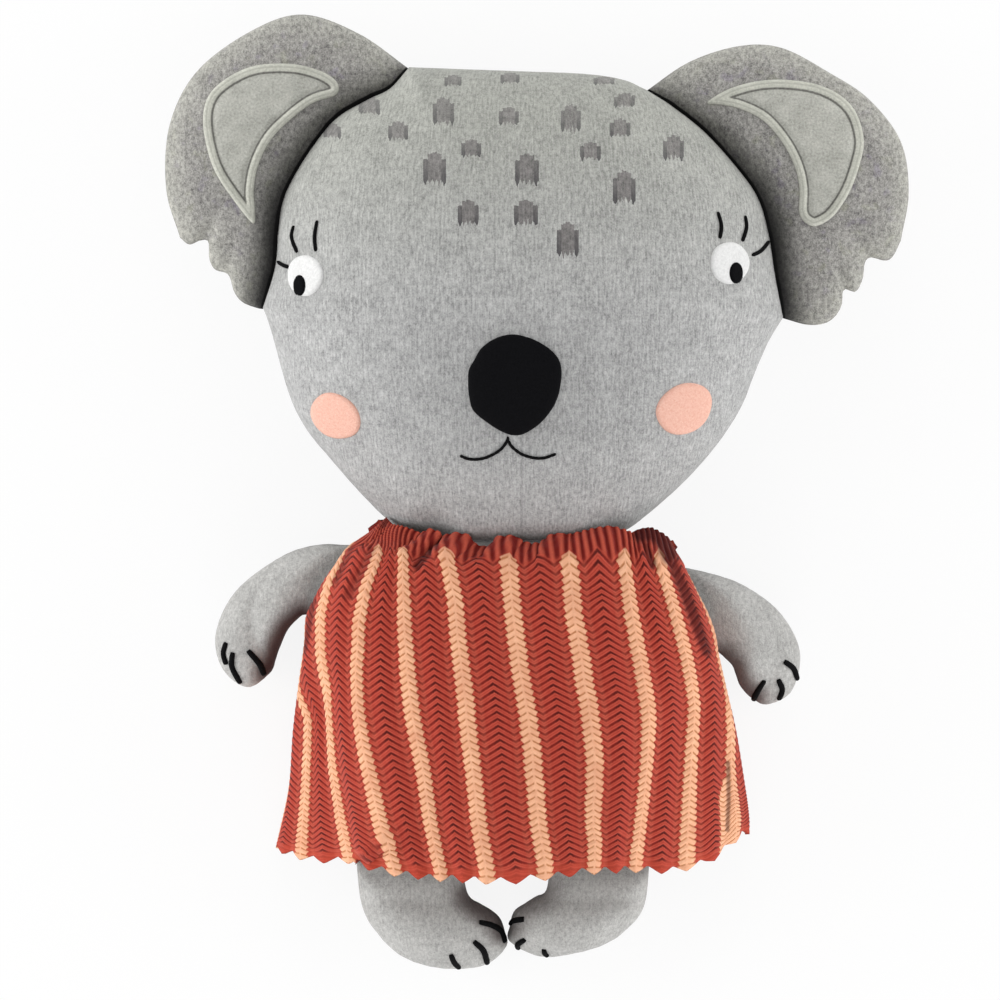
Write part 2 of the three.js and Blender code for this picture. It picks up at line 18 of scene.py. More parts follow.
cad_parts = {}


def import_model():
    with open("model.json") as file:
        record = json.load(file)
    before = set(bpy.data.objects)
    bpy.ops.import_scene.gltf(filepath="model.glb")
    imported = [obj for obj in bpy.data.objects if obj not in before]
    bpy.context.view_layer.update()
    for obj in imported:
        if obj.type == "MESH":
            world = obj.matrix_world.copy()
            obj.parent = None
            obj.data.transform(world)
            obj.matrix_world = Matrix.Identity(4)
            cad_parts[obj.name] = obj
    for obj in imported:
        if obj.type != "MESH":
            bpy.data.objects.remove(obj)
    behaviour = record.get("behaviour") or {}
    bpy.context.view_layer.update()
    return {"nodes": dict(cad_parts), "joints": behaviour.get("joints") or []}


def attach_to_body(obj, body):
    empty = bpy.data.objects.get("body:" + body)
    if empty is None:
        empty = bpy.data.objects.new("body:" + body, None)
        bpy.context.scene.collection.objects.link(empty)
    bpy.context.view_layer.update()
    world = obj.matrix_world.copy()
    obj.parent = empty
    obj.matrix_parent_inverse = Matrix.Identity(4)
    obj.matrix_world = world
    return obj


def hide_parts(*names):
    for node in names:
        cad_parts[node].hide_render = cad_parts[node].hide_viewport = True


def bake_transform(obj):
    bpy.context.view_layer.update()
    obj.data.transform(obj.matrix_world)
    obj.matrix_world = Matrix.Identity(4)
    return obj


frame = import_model()
scene = bpy.context.scene

MM = 0.001
joints = {joint["name"]: joint for joint in frame["joints"]}
CENTRE_X, NECK_Y, SEAM_Z = (value / MM for value in joints["neck_nod"]["pos_m"])

# The photograph's width in pixels, the millimetres that one of them covers, and the pixel of the neck
# seam's middle
PHOTO_SIZE, PIXEL = 1000, 0.4712
NECK_PIXEL = (523, 541)

# How boxy a full panel is, and the pads' sizes. A rise or a drop is how far a pad swells above or below
# its side seam, and a sink is how far from a limb's root its seam reaches the limb's own height.
SWELL_POWER = 2.5
HEAD_WIDTH, HEAD_HEIGHT, HEAD_RISE, HEAD_DROP = 245, 223, 67, 47
NECK_WIDTH, NECK_HALF_THICKNESS = 63, 22
EAR_RISE, EAR_DROP, EAR_ROOT_SLOPE = 15, 13, 2
BODY_WIDTH, BODY_HEIGHT, BODY_RISE, BODY_DROP = 190.8, 161.6, 44, 43
ARM_THICKNESS, ARM_SINK = 35, 30
LEG_THICKNESS, LEG_SINK = 46, 20
UNDERSIDE_FULLNESS, LIMB_ROOT_SLOPE, ROOT_THICKNESS = 1.14, 0.9, 1

# Clearance between the frame's sewn solids, how far a sewn-on pad reaches under its neighbour's
# edge, and the thickness of the dress's knit
GAP, TUCK, KNIT_THICKNESS = 0.3, 1.2, 3

# How far from its seam a pad's stitched groove lies, and a distance at which no seam is near
SEAM_GROOVE, FAR = 1.3, 99

# Width of the rolled border of an ear patch
BORDER_WIDTH = 4

# Knit of the dress: its stripes, the distance between two of them and between two rows, the height of
# a zigzag, and the height of the relief that stands out of the sheet
STRIPE_COUNT, STRIPE_PITCH, ROW_PITCH, CHEVRON, KNIT_RELIEF = 10, 28.7, 3.4, 4.5, 0.8

# Gathered cords at the neckline: their distance, how they fan out, and the stripe where they are upright
CORD_PITCH, CORD_FAN, CORD_UPRIGHT = 4.1, 0.13, 6.3

# How far above the side seam the camera hangs
CAMERA_DISTANCE = 3000

# Forehead spots: middle, width and height in pixels of the photograph
SPOTS = [
    (453, 79, 17, 9), (510, 77, 19, 9), (604, 80, 21, 7), (369, 104, 21, 17), (443, 108, 22, 26),
    (509, 113, 20, 17), (571, 115, 20, 26), (625, 98, 21, 12), (621, 125, 21, 17), (397, 128, 20, 18),
    (332, 130, 17, 14), (675, 145, 21, 23), (471, 146, 20, 17), (591, 149, 21, 17), (434, 166, 23, 31),
    (527, 167, 24, 30), (625, 185, 23, 31), (468, 211, 21, 24), (526, 211, 24, 24), (568, 238, 22, 33),
]

# Curves and outlines


def spline(points, spacing, closed=False):
    """Evenly spaced points of a smooth curve through the given ones"""
    p = np.asarray(points, float)
    if closed:
        p = np.vstack([p[-1], p, p[0], p[1]])
    else:
        p = np.vstack([2 * p[0] - p[1], p, 2 * p[-1] - p[-2]])
    t = np.linspace(0, 1, 24, endpoint=False)[:, None]
    pieces = [
        0.5 * (2 * b + (c - a) * t + (2 * a - 5 * b + 4 * c - d) * t**2 + (3 * b - a - 3 * c + d) * t**3)
        for a, b, c, d in zip(p, p[1:], p[2:], p[3:])
    ]
    dense = np.vstack([*pieces, p[-2]])
    run = np.concatenate([[0], np.cumsum(np.linalg.norm(np.diff(dense, axis=0), axis=1))])
    count = max(2, round(run[-1] / spacing) + 1)
    at = np.linspace(0, run[-1], count)
    even = np.column_stack([np.interp(at, run, dense[:, i]) for i in range(dense.shape[1])])
    return even[:-1] if closed else even


def joined(*stretches):
    """One closed outline from stretches that each start where the last one ended"""
    return np.vstack([stretch[:-1] for stretch in stretches])


def pixels(points):
    """Places in the photograph as millimetres from the neck seam's middle"""
    p = np.asarray(points, float)
    return np.column_stack([p[:, 0] - NECK_PIXEL[0], NECK_PIXEL[1] - p[:, 1]]) * PIXEL


CAMERA_PLACE = np.array([*pixels([(PHOTO_SIZE / 2, PHOTO_SIZE / 2)])[0], SEAM_Z + CAMERA_DISTANCE])


def world(points):
    """Millimetres from the neck seam's middle as metres in the frame's axes"""
    return (np.asarray(points, float) + (CENTRE_X, NECK_Y, 0)) * MM


def smooth(value, low, high):
    """0 below low, 1 above high and an even turn between them"""
    t = np.clip((np.asarray(value, float) - low) / (high - low), 0, 1)
    return t * t * (3 - 2 * t)


def nearest_on(line, points, closed=False):
    """The places on a line through given corners that are nearest to points of the plane, and how near"""
    starts = np.asarray(line, float)
    ends = np.roll(starts, -1, axis=0) if closed else starts[1:]
    places = np.array(points, float)
    nearest = np.full(len(points), np.inf)
    for start, end in zip(starts, ends):
        run = end - start
        share = np.clip((points - start) @ run / (run @ run), 0, 1)
        way = share[:, None] * run
        gap = np.linalg.norm(points - start - way, axis=1)
        closer = gap < nearest
        places[closer] = start + way[closer]
        nearest[closer] = gap[closer]
    return places, nearest


def distance_from(line):
    """Distance in the plane from a line through the given points"""
    return lambda points: nearest_on(line, points)[1]


def inside_outline(outline, points):
    """Whether points of the plane lie inside a closed outline"""
    x, y = points[:, 0], points[:, 1]
    inside = np.zeros(len(points), bool)
    for (x1, y1), (x2, y2) in zip(outline, np.roll(outline, -1, axis=0)):
        if y1 != y2:
            crossed = (y1 > y) != (y2 > y)
            inside ^= crossed & (x < (x2 - x1) * (y - y1) / (y2 - y1) + x1)
    return inside


def share_within(outline, middle):
    """Share of the way from the middle to a closed outline, past 1 outside it"""
    spokes = outline - middle
    angles = np.arctan2(spokes[:, 1], spokes[:, 0])
    reach = np.linalg.norm(spokes, axis=1)

    def share(points):
        way = points - middle
        angle = np.arctan2(way[:, 1], way[:, 0])
        return np.linalg.norm(way, axis=1) / np.interp(angle, angles, reach, period=2 * math.pi)

    return share


def swell(share):
    """Height of a full panel, from 1 at its middle to 0 at its seam"""
    return np.sqrt(np.clip(1 - np.clip(share, 0, 1) ** SWELL_POWER, 0, None))


def at_least(value, floor, softness=2.0):
    """The larger of two surfaces, rounded where they cross"""
    return (value + floor + np.sqrt((value - floor) ** 2 + softness**2)) / 2


def at_most(value, ceiling, softness):
    """The smaller of two heights, rounded where they cross, and nothing where one of them is nothing"""
    gap = np.abs(value - ceiling)
    rounding = softness * np.minimum(value, ceiling) / (np.minimum(value, ceiling) + softness)
    return (value + ceiling - np.sqrt(gap**2 + rounding**2)) / 2


# Materials: numbers are worked out by nodes, written as plain arithmetic


class Number:
    """A number that a material works out for each point of a surface"""

    def __init__(self, tree, socket):
        self.tree = tree
        self.socket = socket

    def made(self, operation, *others, clamped=False):
        node = self.tree.nodes.new("ShaderNodeMath")
        node.operation = operation
        node.use_clamp = clamped
        for socket, value in zip(node.inputs, (self, *others)):
            feed(self.tree, socket, value)
        return Number(self.tree, node.outputs[0])

    __add__ = partialmethod(made, "ADD")
    __sub__ = partialmethod(made, "SUBTRACT")
    __mul__ = partialmethod(made, "MULTIPLY")
    __truediv__ = partialmethod(made, "DIVIDE")
    __neg__ = partialmethod(made, "MULTIPLY", -1)
    below = partialmethod(made, "LESS_THAN")
    above = partialmethod(made, "GREATER_THAN")
    floor = partialmethod(made, "FLOOR")
    fraction = partialmethod(made, "FRACT")
    size = partialmethod(made, "ABSOLUTE")
    clamped = partialmethod(made, "ADD", 0, clamped=True)

    def wave(self):
        """Cosine of so many full turns"""
        return (self * (2 * math.pi)).made("COSINE")

    def between(self, low, high):
        """0 below low, 1 above high and an even turn between them"""
        node = self.tree.nodes.new("ShaderNodeMapRange")
        node.interpolation_type = "SMOOTHSTEP"
        self.tree.links.new(self.socket, node.inputs["Value"])
        node.inputs["From Min"].default_value = low
        node.inputs["From Max"].default_value = high
        return Number(self.tree, node.outputs[0])


def feed(tree, socket, value):
    """Gives a node's input a plain value, or links it to a number that nodes work out"""
    if isinstance(value, Number):
        tree.links.new(value.socket, socket)
    else:
        socket.default_value = value


def linear(text):
    """A colour given as it looks on a screen, as the light that it stands for"""
    values = [int(text[i : i + 2], 16) / 255 for i in (1, 3, 5)]
    return [v / 12.92 if v <= 0.04045 else ((v + 0.055) / 1.055) ** 2.4 for v in values] + [1]


class Surface:
    """A material under construction, with what most of them need"""

    def __init__(self, name, roughness=0.95, sheen=0.0, gloss=0.2):
        self.material = bpy.data.materials.new(name)
        self.material.use_nodes = True
        self.tree = self.material.node_tree
        self.shader = self.tree.nodes["Principled BSDF"]
        self.shader.inputs["Roughness"].default_value = roughness
        self.shader.inputs["Specular IOR Level"].default_value = gloss
        self.shader.inputs["Sheen Weight"].default_value = sheen
        self.shader.inputs["Sheen Roughness"].default_value = 0.5

    def attribute(self, name):
        """The three numbers that a mesh stores at its vertices under a name"""
        source = self.tree.nodes.new("ShaderNodeAttribute")
        source.attribute_name = name
        parts = self.tree.nodes.new("ShaderNodeSeparateXYZ")
        self.tree.links.new(source.outputs["Vector"], parts.inputs[0])
        return [Number(self.tree, parts.outputs[i]) for i in range(3)]

    def noise(self, x, y, z, detail=2, roughness=0.5):
        """Soft noise whose grains are about one unit long, from 0 to 1"""
        place = self.tree.nodes.new("ShaderNodeCombineXYZ")
        for socket, value in zip(place.inputs, (x, y, z)):
            feed(self.tree, socket, value)
        node = self.tree.nodes.new("ShaderNodeTexNoise")
        node.inputs["Scale"].default_value = 1
        node.inputs["Detail"].default_value = detail
        node.inputs["Roughness"].default_value = roughness
        self.tree.links.new(place.outputs[0], node.inputs["Vector"])
        return Number(self.tree, node.outputs[0])

    def mixed(self, share, first, second):
        """A colour between two, each a node's output or written as hex"""
        node = self.tree.nodes.new("ShaderNodeMix")
        node.data_type = "RGBA"
        self.tree.links.new(share.socket, node.inputs[0])
        for socket, value in ((node.inputs[6], first), (node.inputs[7], second)):
            if isinstance(value, str):
                socket.default_value = linear(value)
            else:
                self.tree.links.new(value, socket)
        return node.outputs[2]

    def finish(self, colour, height, depth):
        """Sets the colour, and dents the surface by a height from 0 to 1 times a depth in mm"""
        self.tree.links.new(colour, self.shader.inputs["Base Color"])
        bump = self.tree.nodes.new("ShaderNodeBump")
        bump.inputs["Strength"].default_value = 1
        bump.inputs["Distance"].default_value = depth * MM
        self.tree.links.new(height.socket, bump.inputs["Height"])
        self.tree.links.new(bump.outputs[0], self.shader.inputs["Normal"])
        return self.material


def heather_knit(name, dark, light, wale=2.1, contrast=1.0, ribbed=1.0, shadow=0.3):
    """Fine jersey in mixed grey yarn, with flecks and faint upright wales

    Also gives what paints shade on it at its edges: the distances from its seam and its root, how dark
    the painted shadow gets towards the root, and how dark the painted shadow line is where it goes under
    its neighbour.
    """
    surface = Surface(name, sheen=0.1)
    x, y, seam = surface.attribute("knit")
    root, _, _ = surface.attribute("edge")
    across = x / wale
    slant = (across.fraction() - 0.5).size()
    courses = (y / 1.5 + slant).wave()
    grain = surface.noise(x * 1.5, y * 1.2, 0.0, detail=2, roughness=0.7)
    fleck = surface.noise(x * 0.55, y * 0.38, 0.0, detail=3, roughness=0.65)
    streak = surface.noise(x * 1.1, y * 0.16, 7.0, detail=2, roughness=0.6)
    cloud = surface.noise(x * 0.09, y * 0.07, 3.0, detail=2)
    ribs = across.wave()
    shade = (
        (grain - 0.5) * (0.9 * contrast)
        + (fleck - 0.5) * (1.1 * contrast)
        + (streak - 0.5) * (1.1 * ribbed)
        + (cloud - 0.5) * 0.5
        + ribs * (0.03 * ribbed)
        + courses * (0.02 * ribbed)
        + 0.5
    ).clamped()
    colour = surface.mixed(shade, dark, light)
    height = ribs * (0.06 * ribbed) + courses * (0.05 * ribbed) + streak * (0.3 * ribbed)
    height = height + grain * 0.4 + fleck * 0.6
    return surface, colour, shade, height, (seam, root, shadow, shadow * shadow * 1.5)


def sewn_in(surface, colour, height, edges):
    """Paints shade on a pad's cloth: in its seam groove, inside a limb's bend, and where another pad hides it
    from the light
    """
    seam, root, shadow, joint = edges
    _, _, painted_bend_shade = surface.attribute("edge")
    # painted shade inside a limb's bend
    colour = surface.mixed(painted_bend_shade, colour, "#38211f")
    # painted shadow towards the root, where the neighbouring pad hides the cloth from the light
    colour = surface.mixed(root.between(19, 1.5) * shadow, colour, "#1d1c1d")
    # painted shadow line where the cloth goes under its neighbour
    colour = surface.mixed(root.between(TUCK + 1.3, TUCK + 0.5) * joint, colour, "#0c0c0d")
    # painted shade in the stitched seam groove
    colour = surface.mixed((seam - SEAM_GROOVE).size().between(0.8, 0.2) * 0.35, colour, "#4a4948")
    return surface.finish(colour, height, 0.4)


def plain_knit():
    surface, colour, _, height, edges = heather_knit(
        "grey_knit", "#8a8987", "#c8c7c4", contrast=1.3, ribbed=0.5, shadow=0.2
    )
    return sewn_in(surface, colour, height, edges)


def spotted_knit():
    """The head's cloth: greener at the crown, with painted shade round the nose, spots and a crease in the
    middle
    """
    surface, colour, shade, height, edges = heather_knit("head_knit", "#808080", "#c9c9c8", contrast=1.3)
    x, y, _ = surface.attribute("place")
    green = surface.mixed(shade, "#7d7f78", "#b5b6ad")
    colour = surface.mixed(y.between(90, 215) * 0.8, colour, green)
    colour = forehead_spots(surface, colour, shade)
    # painted shade round the nose
    painted_nose_shade = x.size().between(95, 15) * (y - 68).size().between(60, 15)
    colour = surface.mixed(painted_nose_shade * 0.18, colour, "#5c5c5d")
    crease = (x + 0.8).size().between(1.1, 0.3) * y.between(190, 60)
    colour = surface.mixed(crease * 0.22, colour, "#6d6c6c")
    return sewn_in(surface, colour, height, edges)


def nearest_spot(x, y, z):
    """The place within the spot that a point lies in or beside, as seen from above, and 1 if there is one"""
    nearer = (z - SEAM_Z) / CAMERA_DISTANCE + 1
    x = (x - CAMERA_PLACE[0]) * nearer + CAMERA_PLACE[0]
    y = (y - CAMERA_PLACE[1]) * nearer + CAMERA_PLACE[1]
    across = up = near = None
    for spot_x, spot_y, width, height in SPOTS:
        middle = pixels([(spot_x, spot_y)])[0]
        dx = (x - middle[0]) * (2 / (width * PIXEL))
        dy = (y - middle[1]) * (2 / (height * PIXEL))
        here = dx.size().made("MAXIMUM", dy.size()).below(1.35)
        dx, dy = dx * here, dy * here
        across, up, near = (dx, dy, here) if near is None else (across + dx, up + dy, near + here)
    return across, up, near


def forehead_spots(surface, colour, shade):
    """Spots knitted in darker yarn: five wales each, stepped at the top and ragged at the bottom"""
    x, y, z = surface.attribute("place")
    across, up, near = nearest_spot(x, y, z)
    wales = across * 2.5 + 2.5
    step = (wales.floor() - 2).size()
    ragged = surface.noise(x * 0.9, y * 0.25, 9.0, detail=2)
    jag = (ragged - 0.5) * 0.9
    top = up.below(-(step * step) * 0.12 + jag * 0.4 + 1)
    bottom = up.above((wales.fraction() - 0.5).size() * 0.7 - step * 0.06 + jag - 1.1)
    inside = across.size().below(1) * top * bottom * near * z.above(SEAM_Z)
    outer = step.above(1.5)
    yarn = surface.mixed(shade, "#545251", "#898584")
    yarn = surface.mixed(outer * (up * -0.35 + 0.5).clamped(), yarn, "#38363a")
    faint = y.between(220, 150) * 0.25 + 0.68
    return surface.mixed(inside * faint, colour, yarn)


def ear_cloth():
    """Dark heather: mottled with green and purple flecks, lighter towards the outer rim"""
    surface, colour, shade, height, (seam, root, shadow, joint) = heather_knit(
        "dark_grey_knit", "#5d5b5a", "#b9b7b2", wale=1.6, contrast=1.6, ribbed=0.15, shadow=0.93
    )
    x, y, _ = surface.attribute("knit")
    tint = surface.noise(x * 0.13, y * 0.13, 11.0, detail=3)
    purple = surface.mixed(shade, "#5e5960", "#a49fa8")
    green = surface.mixed(shade, "#69695f", "#b2b2a4")
    colour = surface.mixed(tint.between(0.58, 0.7) * 0.7, colour, green)
    colour = surface.mixed(tint.between(0.42, 0.32) * 0.7, colour, purple)
    rim = surface.mixed(shade, "#7d7d78", "#cccbc1")
    colour = surface.mixed(seam.between(20, 2) * 0.7, colour, rim)
    _, up, _ = surface.attribute("place")
    # the painted shadow by the root is weaker towards the top of the ear
    overhung = up.between(210, 140) * 0.6 + 0.4
    return sewn_in(surface, colour, height, (seam, root, overhung * shadow, joint))


def patch_cloth():
    """The ear patch's cloth: pale on its rolled border, dark in the stitched dip beside it, with painted
    shade in the border's groove and along the patch's edge
    """
    surface = Surface("pale_grey_knit", sheen=0.1)
    x, y, depth = surface.attribute("knit")
    fleck = surface.noise(x * 0.9, y * 0.9, 0.0, detail=3, roughness=0.65)
    cloud = surface.noise(x * 0.12, y * 0.12, 5.0, detail=2)
    shade = ((fleck - 0.5) * 1.6 + (cloud - 0.5) * 0.8 + 0.5).clamped()
    colour = surface.mixed(shade, "#8d8d86", "#cbcbc3")
    border = surface.mixed(shade, "#a9aaa0", "#d6d6cb")
    colour = surface.mixed(depth.between(BORDER_WIDTH + 0.1, BORDER_WIDTH - 0.4), colour, border)
    dip = (depth - (BORDER_WIDTH + 0.3)).size().between(0.7, 0.15)
    stitches = surface.noise(x * 0.8, y * 0.8, 2.0, detail=1) * 0.5 + 0.45
    colour = surface.mixed(dip * stitches, colour, "#4b4a46")
    # painted shade in the rolled border's groove
    groove = (depth - BORDER_WIDTH / 2).size().between(0.6, 0.1)
    colour = surface.mixed(groove * 0.35, colour, "#85857c")
    # painted shade along the patch's edge, where it meets the ear
    colour = surface.mixed(depth.between(0.5, 0.0) * 0.6, colour, "#565553")
    return surface.finish(colour, fleck, 0.4)


def felt(name, dark, light, grain, depth):
    """Matted cloth with an uneven, slightly fuzzy surface"""
    surface = Surface(name, gloss=0.1)
    x, y, z = surface.attribute("place")
    coarse = surface.noise(x * grain, y * grain, z * grain, detail=4, roughness=0.7)
    fine = surface.noise(x * 4, y * 4, z * 4, detail=2)
    shade = ((coarse - 0.5) * 2.0 + (fine - 0.5) * 0.8 + 0.5).clamped()
    return surface.finish(surface.mixed(shade, dark, light), coarse * 0.7 + fine * 0.3, depth)


def thread(name, dark, light):
    """Smooth embroidery thread, whose strands run slantwise round each stitch"""
    surface = Surface(name, roughness=0.8, gloss=0.1)
    run, turn, _ = surface.attribute("strand")
    strands = (run * 1.6 + turn).wave()
    fuzz = surface.noise(run * 2, turn * 3, 0.0, detail=2)
    shade = (strands * 0.25 + fuzz * 0.6 + 0.1).clamped()
    return surface.finish(surface.mixed(shade, dark, light), strands * 0.4 + fuzz * 0.6, 0.25)


def rust_yarn(surface, zigzag, from_rib, stitches, fuzz, shine, hem):
    """Ribs with painted shade in the gaps between them, darkest in the zigzag's valleys, and plainer at the
    hem
    """
    # painted shade in the gaps between ribs
    gap = (from_rib + (stitches - 0.5) * 0.35).between(0.4, 0.82)
    strand = from_rib.between(0.25, 0.05) * (fuzz * 0.8)
    rib = surface.mixed(shine, "#9e3125", "#d05a46")
    rib = surface.mixed(strand, rib, "#8a2018")
    dark = surface.mixed(zigzag.between(0.45, 0.9), "#7a1e17", "#480909")
    colour = surface.mixed(gap * (-hem * 0.55 + 0.95), rib, dark)
    colour = surface.mixed(hem * 0.45, colour, "#b8422d")
    return surface.mixed(zigzag.between(0.3, 0.05) * 0.12, colour, "#e08066")


def peach_yarn(surface, from_rib, off_stripe, stitches, shine):
    """Pale ribs with a brown dash on either side of the stripe's middle in each gap"""
    rib = surface.mixed(shine, "#d99470", "#ffcba6")
    dash = from_rib.between(0.55, 0.9) * off_stripe.between(0.2, 0.9) * (stitches * 0.9 + 0.3)
    return surface.mixed(dash.clamped(), rib, "#b2703f")


def doubled_stripe(u, v, tooth):
    """1 where the last stripe lies double at the hem"""
    from_last = (-u + STRIPE_COUNT) * STRIPE_PITCH
    width = v.between(104, 130) * 10.5
    return (from_last - width + tooth).between(0.5, 0) * from_last.between(-0.5, 0.5)


def gathered_cords(surface, u, v, fuzz):
    """The ruffled neckline's cords, which fan out from one stripe, with painted shade between them"""
    fanned = -(u - CORD_UPRIGHT) * CORD_FAN
    cords = ((u * STRIPE_PITCH + v * fanned) / CORD_PITCH).wave()
    shade = (cords * 0.5 + 0.3) * (fuzz * 0.9 + 0.5)
    return surface.mixed(shade.clamped(), "#741812", "#cc5c46")


def striped_knit():
    """Zigzag knit in rust with peach stripes"""
    surface = Surface("striped_knit", sheen=0.08)
    u, v, shade = surface.attribute("weave")
    gather, hem, _ = surface.attribute("edge")
    x, y, z = surface.attribute("place")
    fuzz = surface.noise(x * 1.5, y * 1.5, z * 1.5, detail=3, roughness=0.7)
    cloud = surface.noise(x * 0.06, y * 0.06, z * 0.06, detail=2)
    zigzag = ((u * 2).fraction() - 0.5).size() * 2
    rows = v / ROW_PITCH + (zigzag - 0.5) * (CHEVRON / ROW_PITCH) + (fuzz - 0.5) * 0.22
    rib = rows.fraction()
    from_rib = (rib - 0.5).size() * 2
    stitches = surface.noise(u * 9, rows.floor() * 3.7, 0.0, detail=1)
    shine = (stitches * 0.7 + fuzz * 0.6 - 0.15).clamped()
    off_stripe = ((u + 0.5).fraction() - 0.5).size() * STRIPE_PITCH
    tooth = (rib - 0.5) * 1.6 + (fuzz - 0.5) * 0.9
    striped = (off_stripe + tooth).between(4.4, 3.9) * gather.between(0.6, 0.4)
    striped = (striped + doubled_stripe(u, v, tooth)).clamped()
    rust = rust_yarn(surface, zigzag, from_rib, stitches, fuzz, shine, hem)
    peach = peach_yarn(surface, from_rib, off_stripe, stitches, shine)
    colour = surface.mixed(striped, rust, peach)
    colour = surface.mixed(gather, colour, gathered_cords(surface, u, v, fuzz))
    colour = surface.mixed((cloud - 0.4).clamped() * 0.5, colour, "#a3362a")
    # painted shade in the deep folds
    colour = surface.mixed(shade * 0.85, colour, "#36080a")
    height = (from_rib * -0.6 + 1) * 0.5 + fuzz * 0.4 + stitches * 0.25
    return surface.finish(colour, height, 0.5)


def cord_cover():
    """The elastic's pale woven cover, from the frame's own places because it is a piece of the frame"""
    surface = Surface("elastic", roughness=0.8)
    source = surface.tree.nodes.new("ShaderNodeTexCoord")
    parts = surface.tree.nodes.new("ShaderNodeSeparateXYZ")
    surface.tree.links.new(source.outputs["Object"], parts.inputs[0])
    x, y, z = (Number(surface.tree, parts.outputs[i]) * (0.9 / MM) for i in range(3))
    shade = surface.noise(x, y, z, detail=3)
    return surface.finish(surface.mixed(shade, "#d8d0c2", "#f4efe6"), shade, 0.3)


grey_knit = plain_knit()
head_knit = spotted_knit()
ear_knit = ear_cloth()
bordered_knit = patch_cloth()
felts = {
    "black_cloth": felt("black_cloth", "#040406", "#0e0e11", grain=1.1, depth=0.5),
    "white_cloth": felt("white_cloth", "#d0d0cf", "#e9e9e8", grain=0.8, depth=0.3),
    "pink_cloth": felt("pink_cloth", "#e9aa95", "#f9d0c0", grain=1.0, depth=0.6),
}
black_thread = thread("black_thread", "#020203", "#0d0d0f")
dress_knit = striped_knit()
elastic_cord = cord_cover()


# Meshes


def mesh_object(name, points, faces, material):
    mesh = bpy.data.meshes.new(name)
    mesh.from_pydata(world(points).tolist(), [], faces)
    mesh.materials.append(material)
    mesh.shade_smooth()
    obj = bpy.data.objects.new(name, mesh)
    scene.collection.objects.link(obj)
    return obj


def vertex_places(obj):
    """The mesh's vertices in millimetres from the neck seam's middle"""
    flat = np.empty(len(obj.data.vertices) * 3)
    obj.data.vertices.foreach_get("co", flat)
    return flat.reshape(-1, 3) / MM - (CENTRE_X, NECK_Y, 0)


def move_vertices(obj, points):
    obj.data.vertices.foreach_set("co", world(points).astype(np.float32).ravel())
    obj.data.update()


def vertex_normals(obj):
    flat = np.empty(len(obj.data.vertices) * 3)
    obj.data.vertex_normals.foreach_get("vector", flat)
    return flat.reshape(-1, 3)


def give(obj, name, values):
    """Stores three numbers at each vertex for the material"""
    attribute = obj.data.attributes.get(name)
    if attribute is None:
        attribute = obj.data.attributes.new(name, "FLOAT_VECTOR", "POINT")
    attribute.data.foreach_set("vector", np.asarray(values, np.float32).ravel())


def read(obj, name):
    flat = np.empty(len(obj.data.vertices) * 3, np.float32)
    obj.data.attributes[name].data.foreach_get("vector", flat)
    return flat.reshape(-1, 3).astype(float)


def apply_modifiers(obj):
    graph = bpy.context.evaluated_depsgraph_get()
    mesh = bpy.data.meshes.new_from_object(obj.evaluated_get(graph))
    obj.modifiers.clear()
    obj.data = mesh
    mesh.shade_smooth()


def surface_tree(obj):
    """For finding places on an object's surface at rest"""
    return BVHTree.FromObject(obj, bpy.context.evaluated_depsgraph_get())


def point_finder(points):
    """For finding the nearest of many points"""
    finder = KDTree(len(points))
    for i, point in enumerate(points):
        finder.insert(point, i)
    finder.balance()
    return finder


def grid_cells(rows, columns):
    """Four corners of each cell of a grid, in turn along its row and back along the next row"""
    corner = (np.arange(rows - 1)[:, None] * columns + np.arange(columns - 1)).ravel()
    return np.column_stack([corner, corner + 1, corner + columns + 1, corner + columns])


def open_sides(faces):
    """The sides that only one face has, as pairs of corners"""
    sides = [(a, b) for face in faces for a, b in zip(face, face[1:] + face[:1])]
    known = set(sides)
    return [(a, b) for a, b in sides if (b, a) not in known]


def on_surface(tree, points):
    """The places that the camera sees on a surface at points of the photograph, and the way out there"""
    places, normals = [], []
    start = Vector(world([CAMERA_PLACE])[0])
    for x, y in points:
        target = Vector(world([(x, y, SEAM_Z)])[0])
        place, normal, _, _ = tree.ray_cast(start, (target - start).normalized())
        if place is None:
            if places:
                target.z = places[-1].z
            place, normal, _, _ = tree.find_nearest(target)
        places.append(place)
        normals.append(normal if normal.z > 0 else -normal)
    return np.array(places) / MM - (CENTRE_X, NECK_Y, 0), np.array(normals)


# Stuffed pads


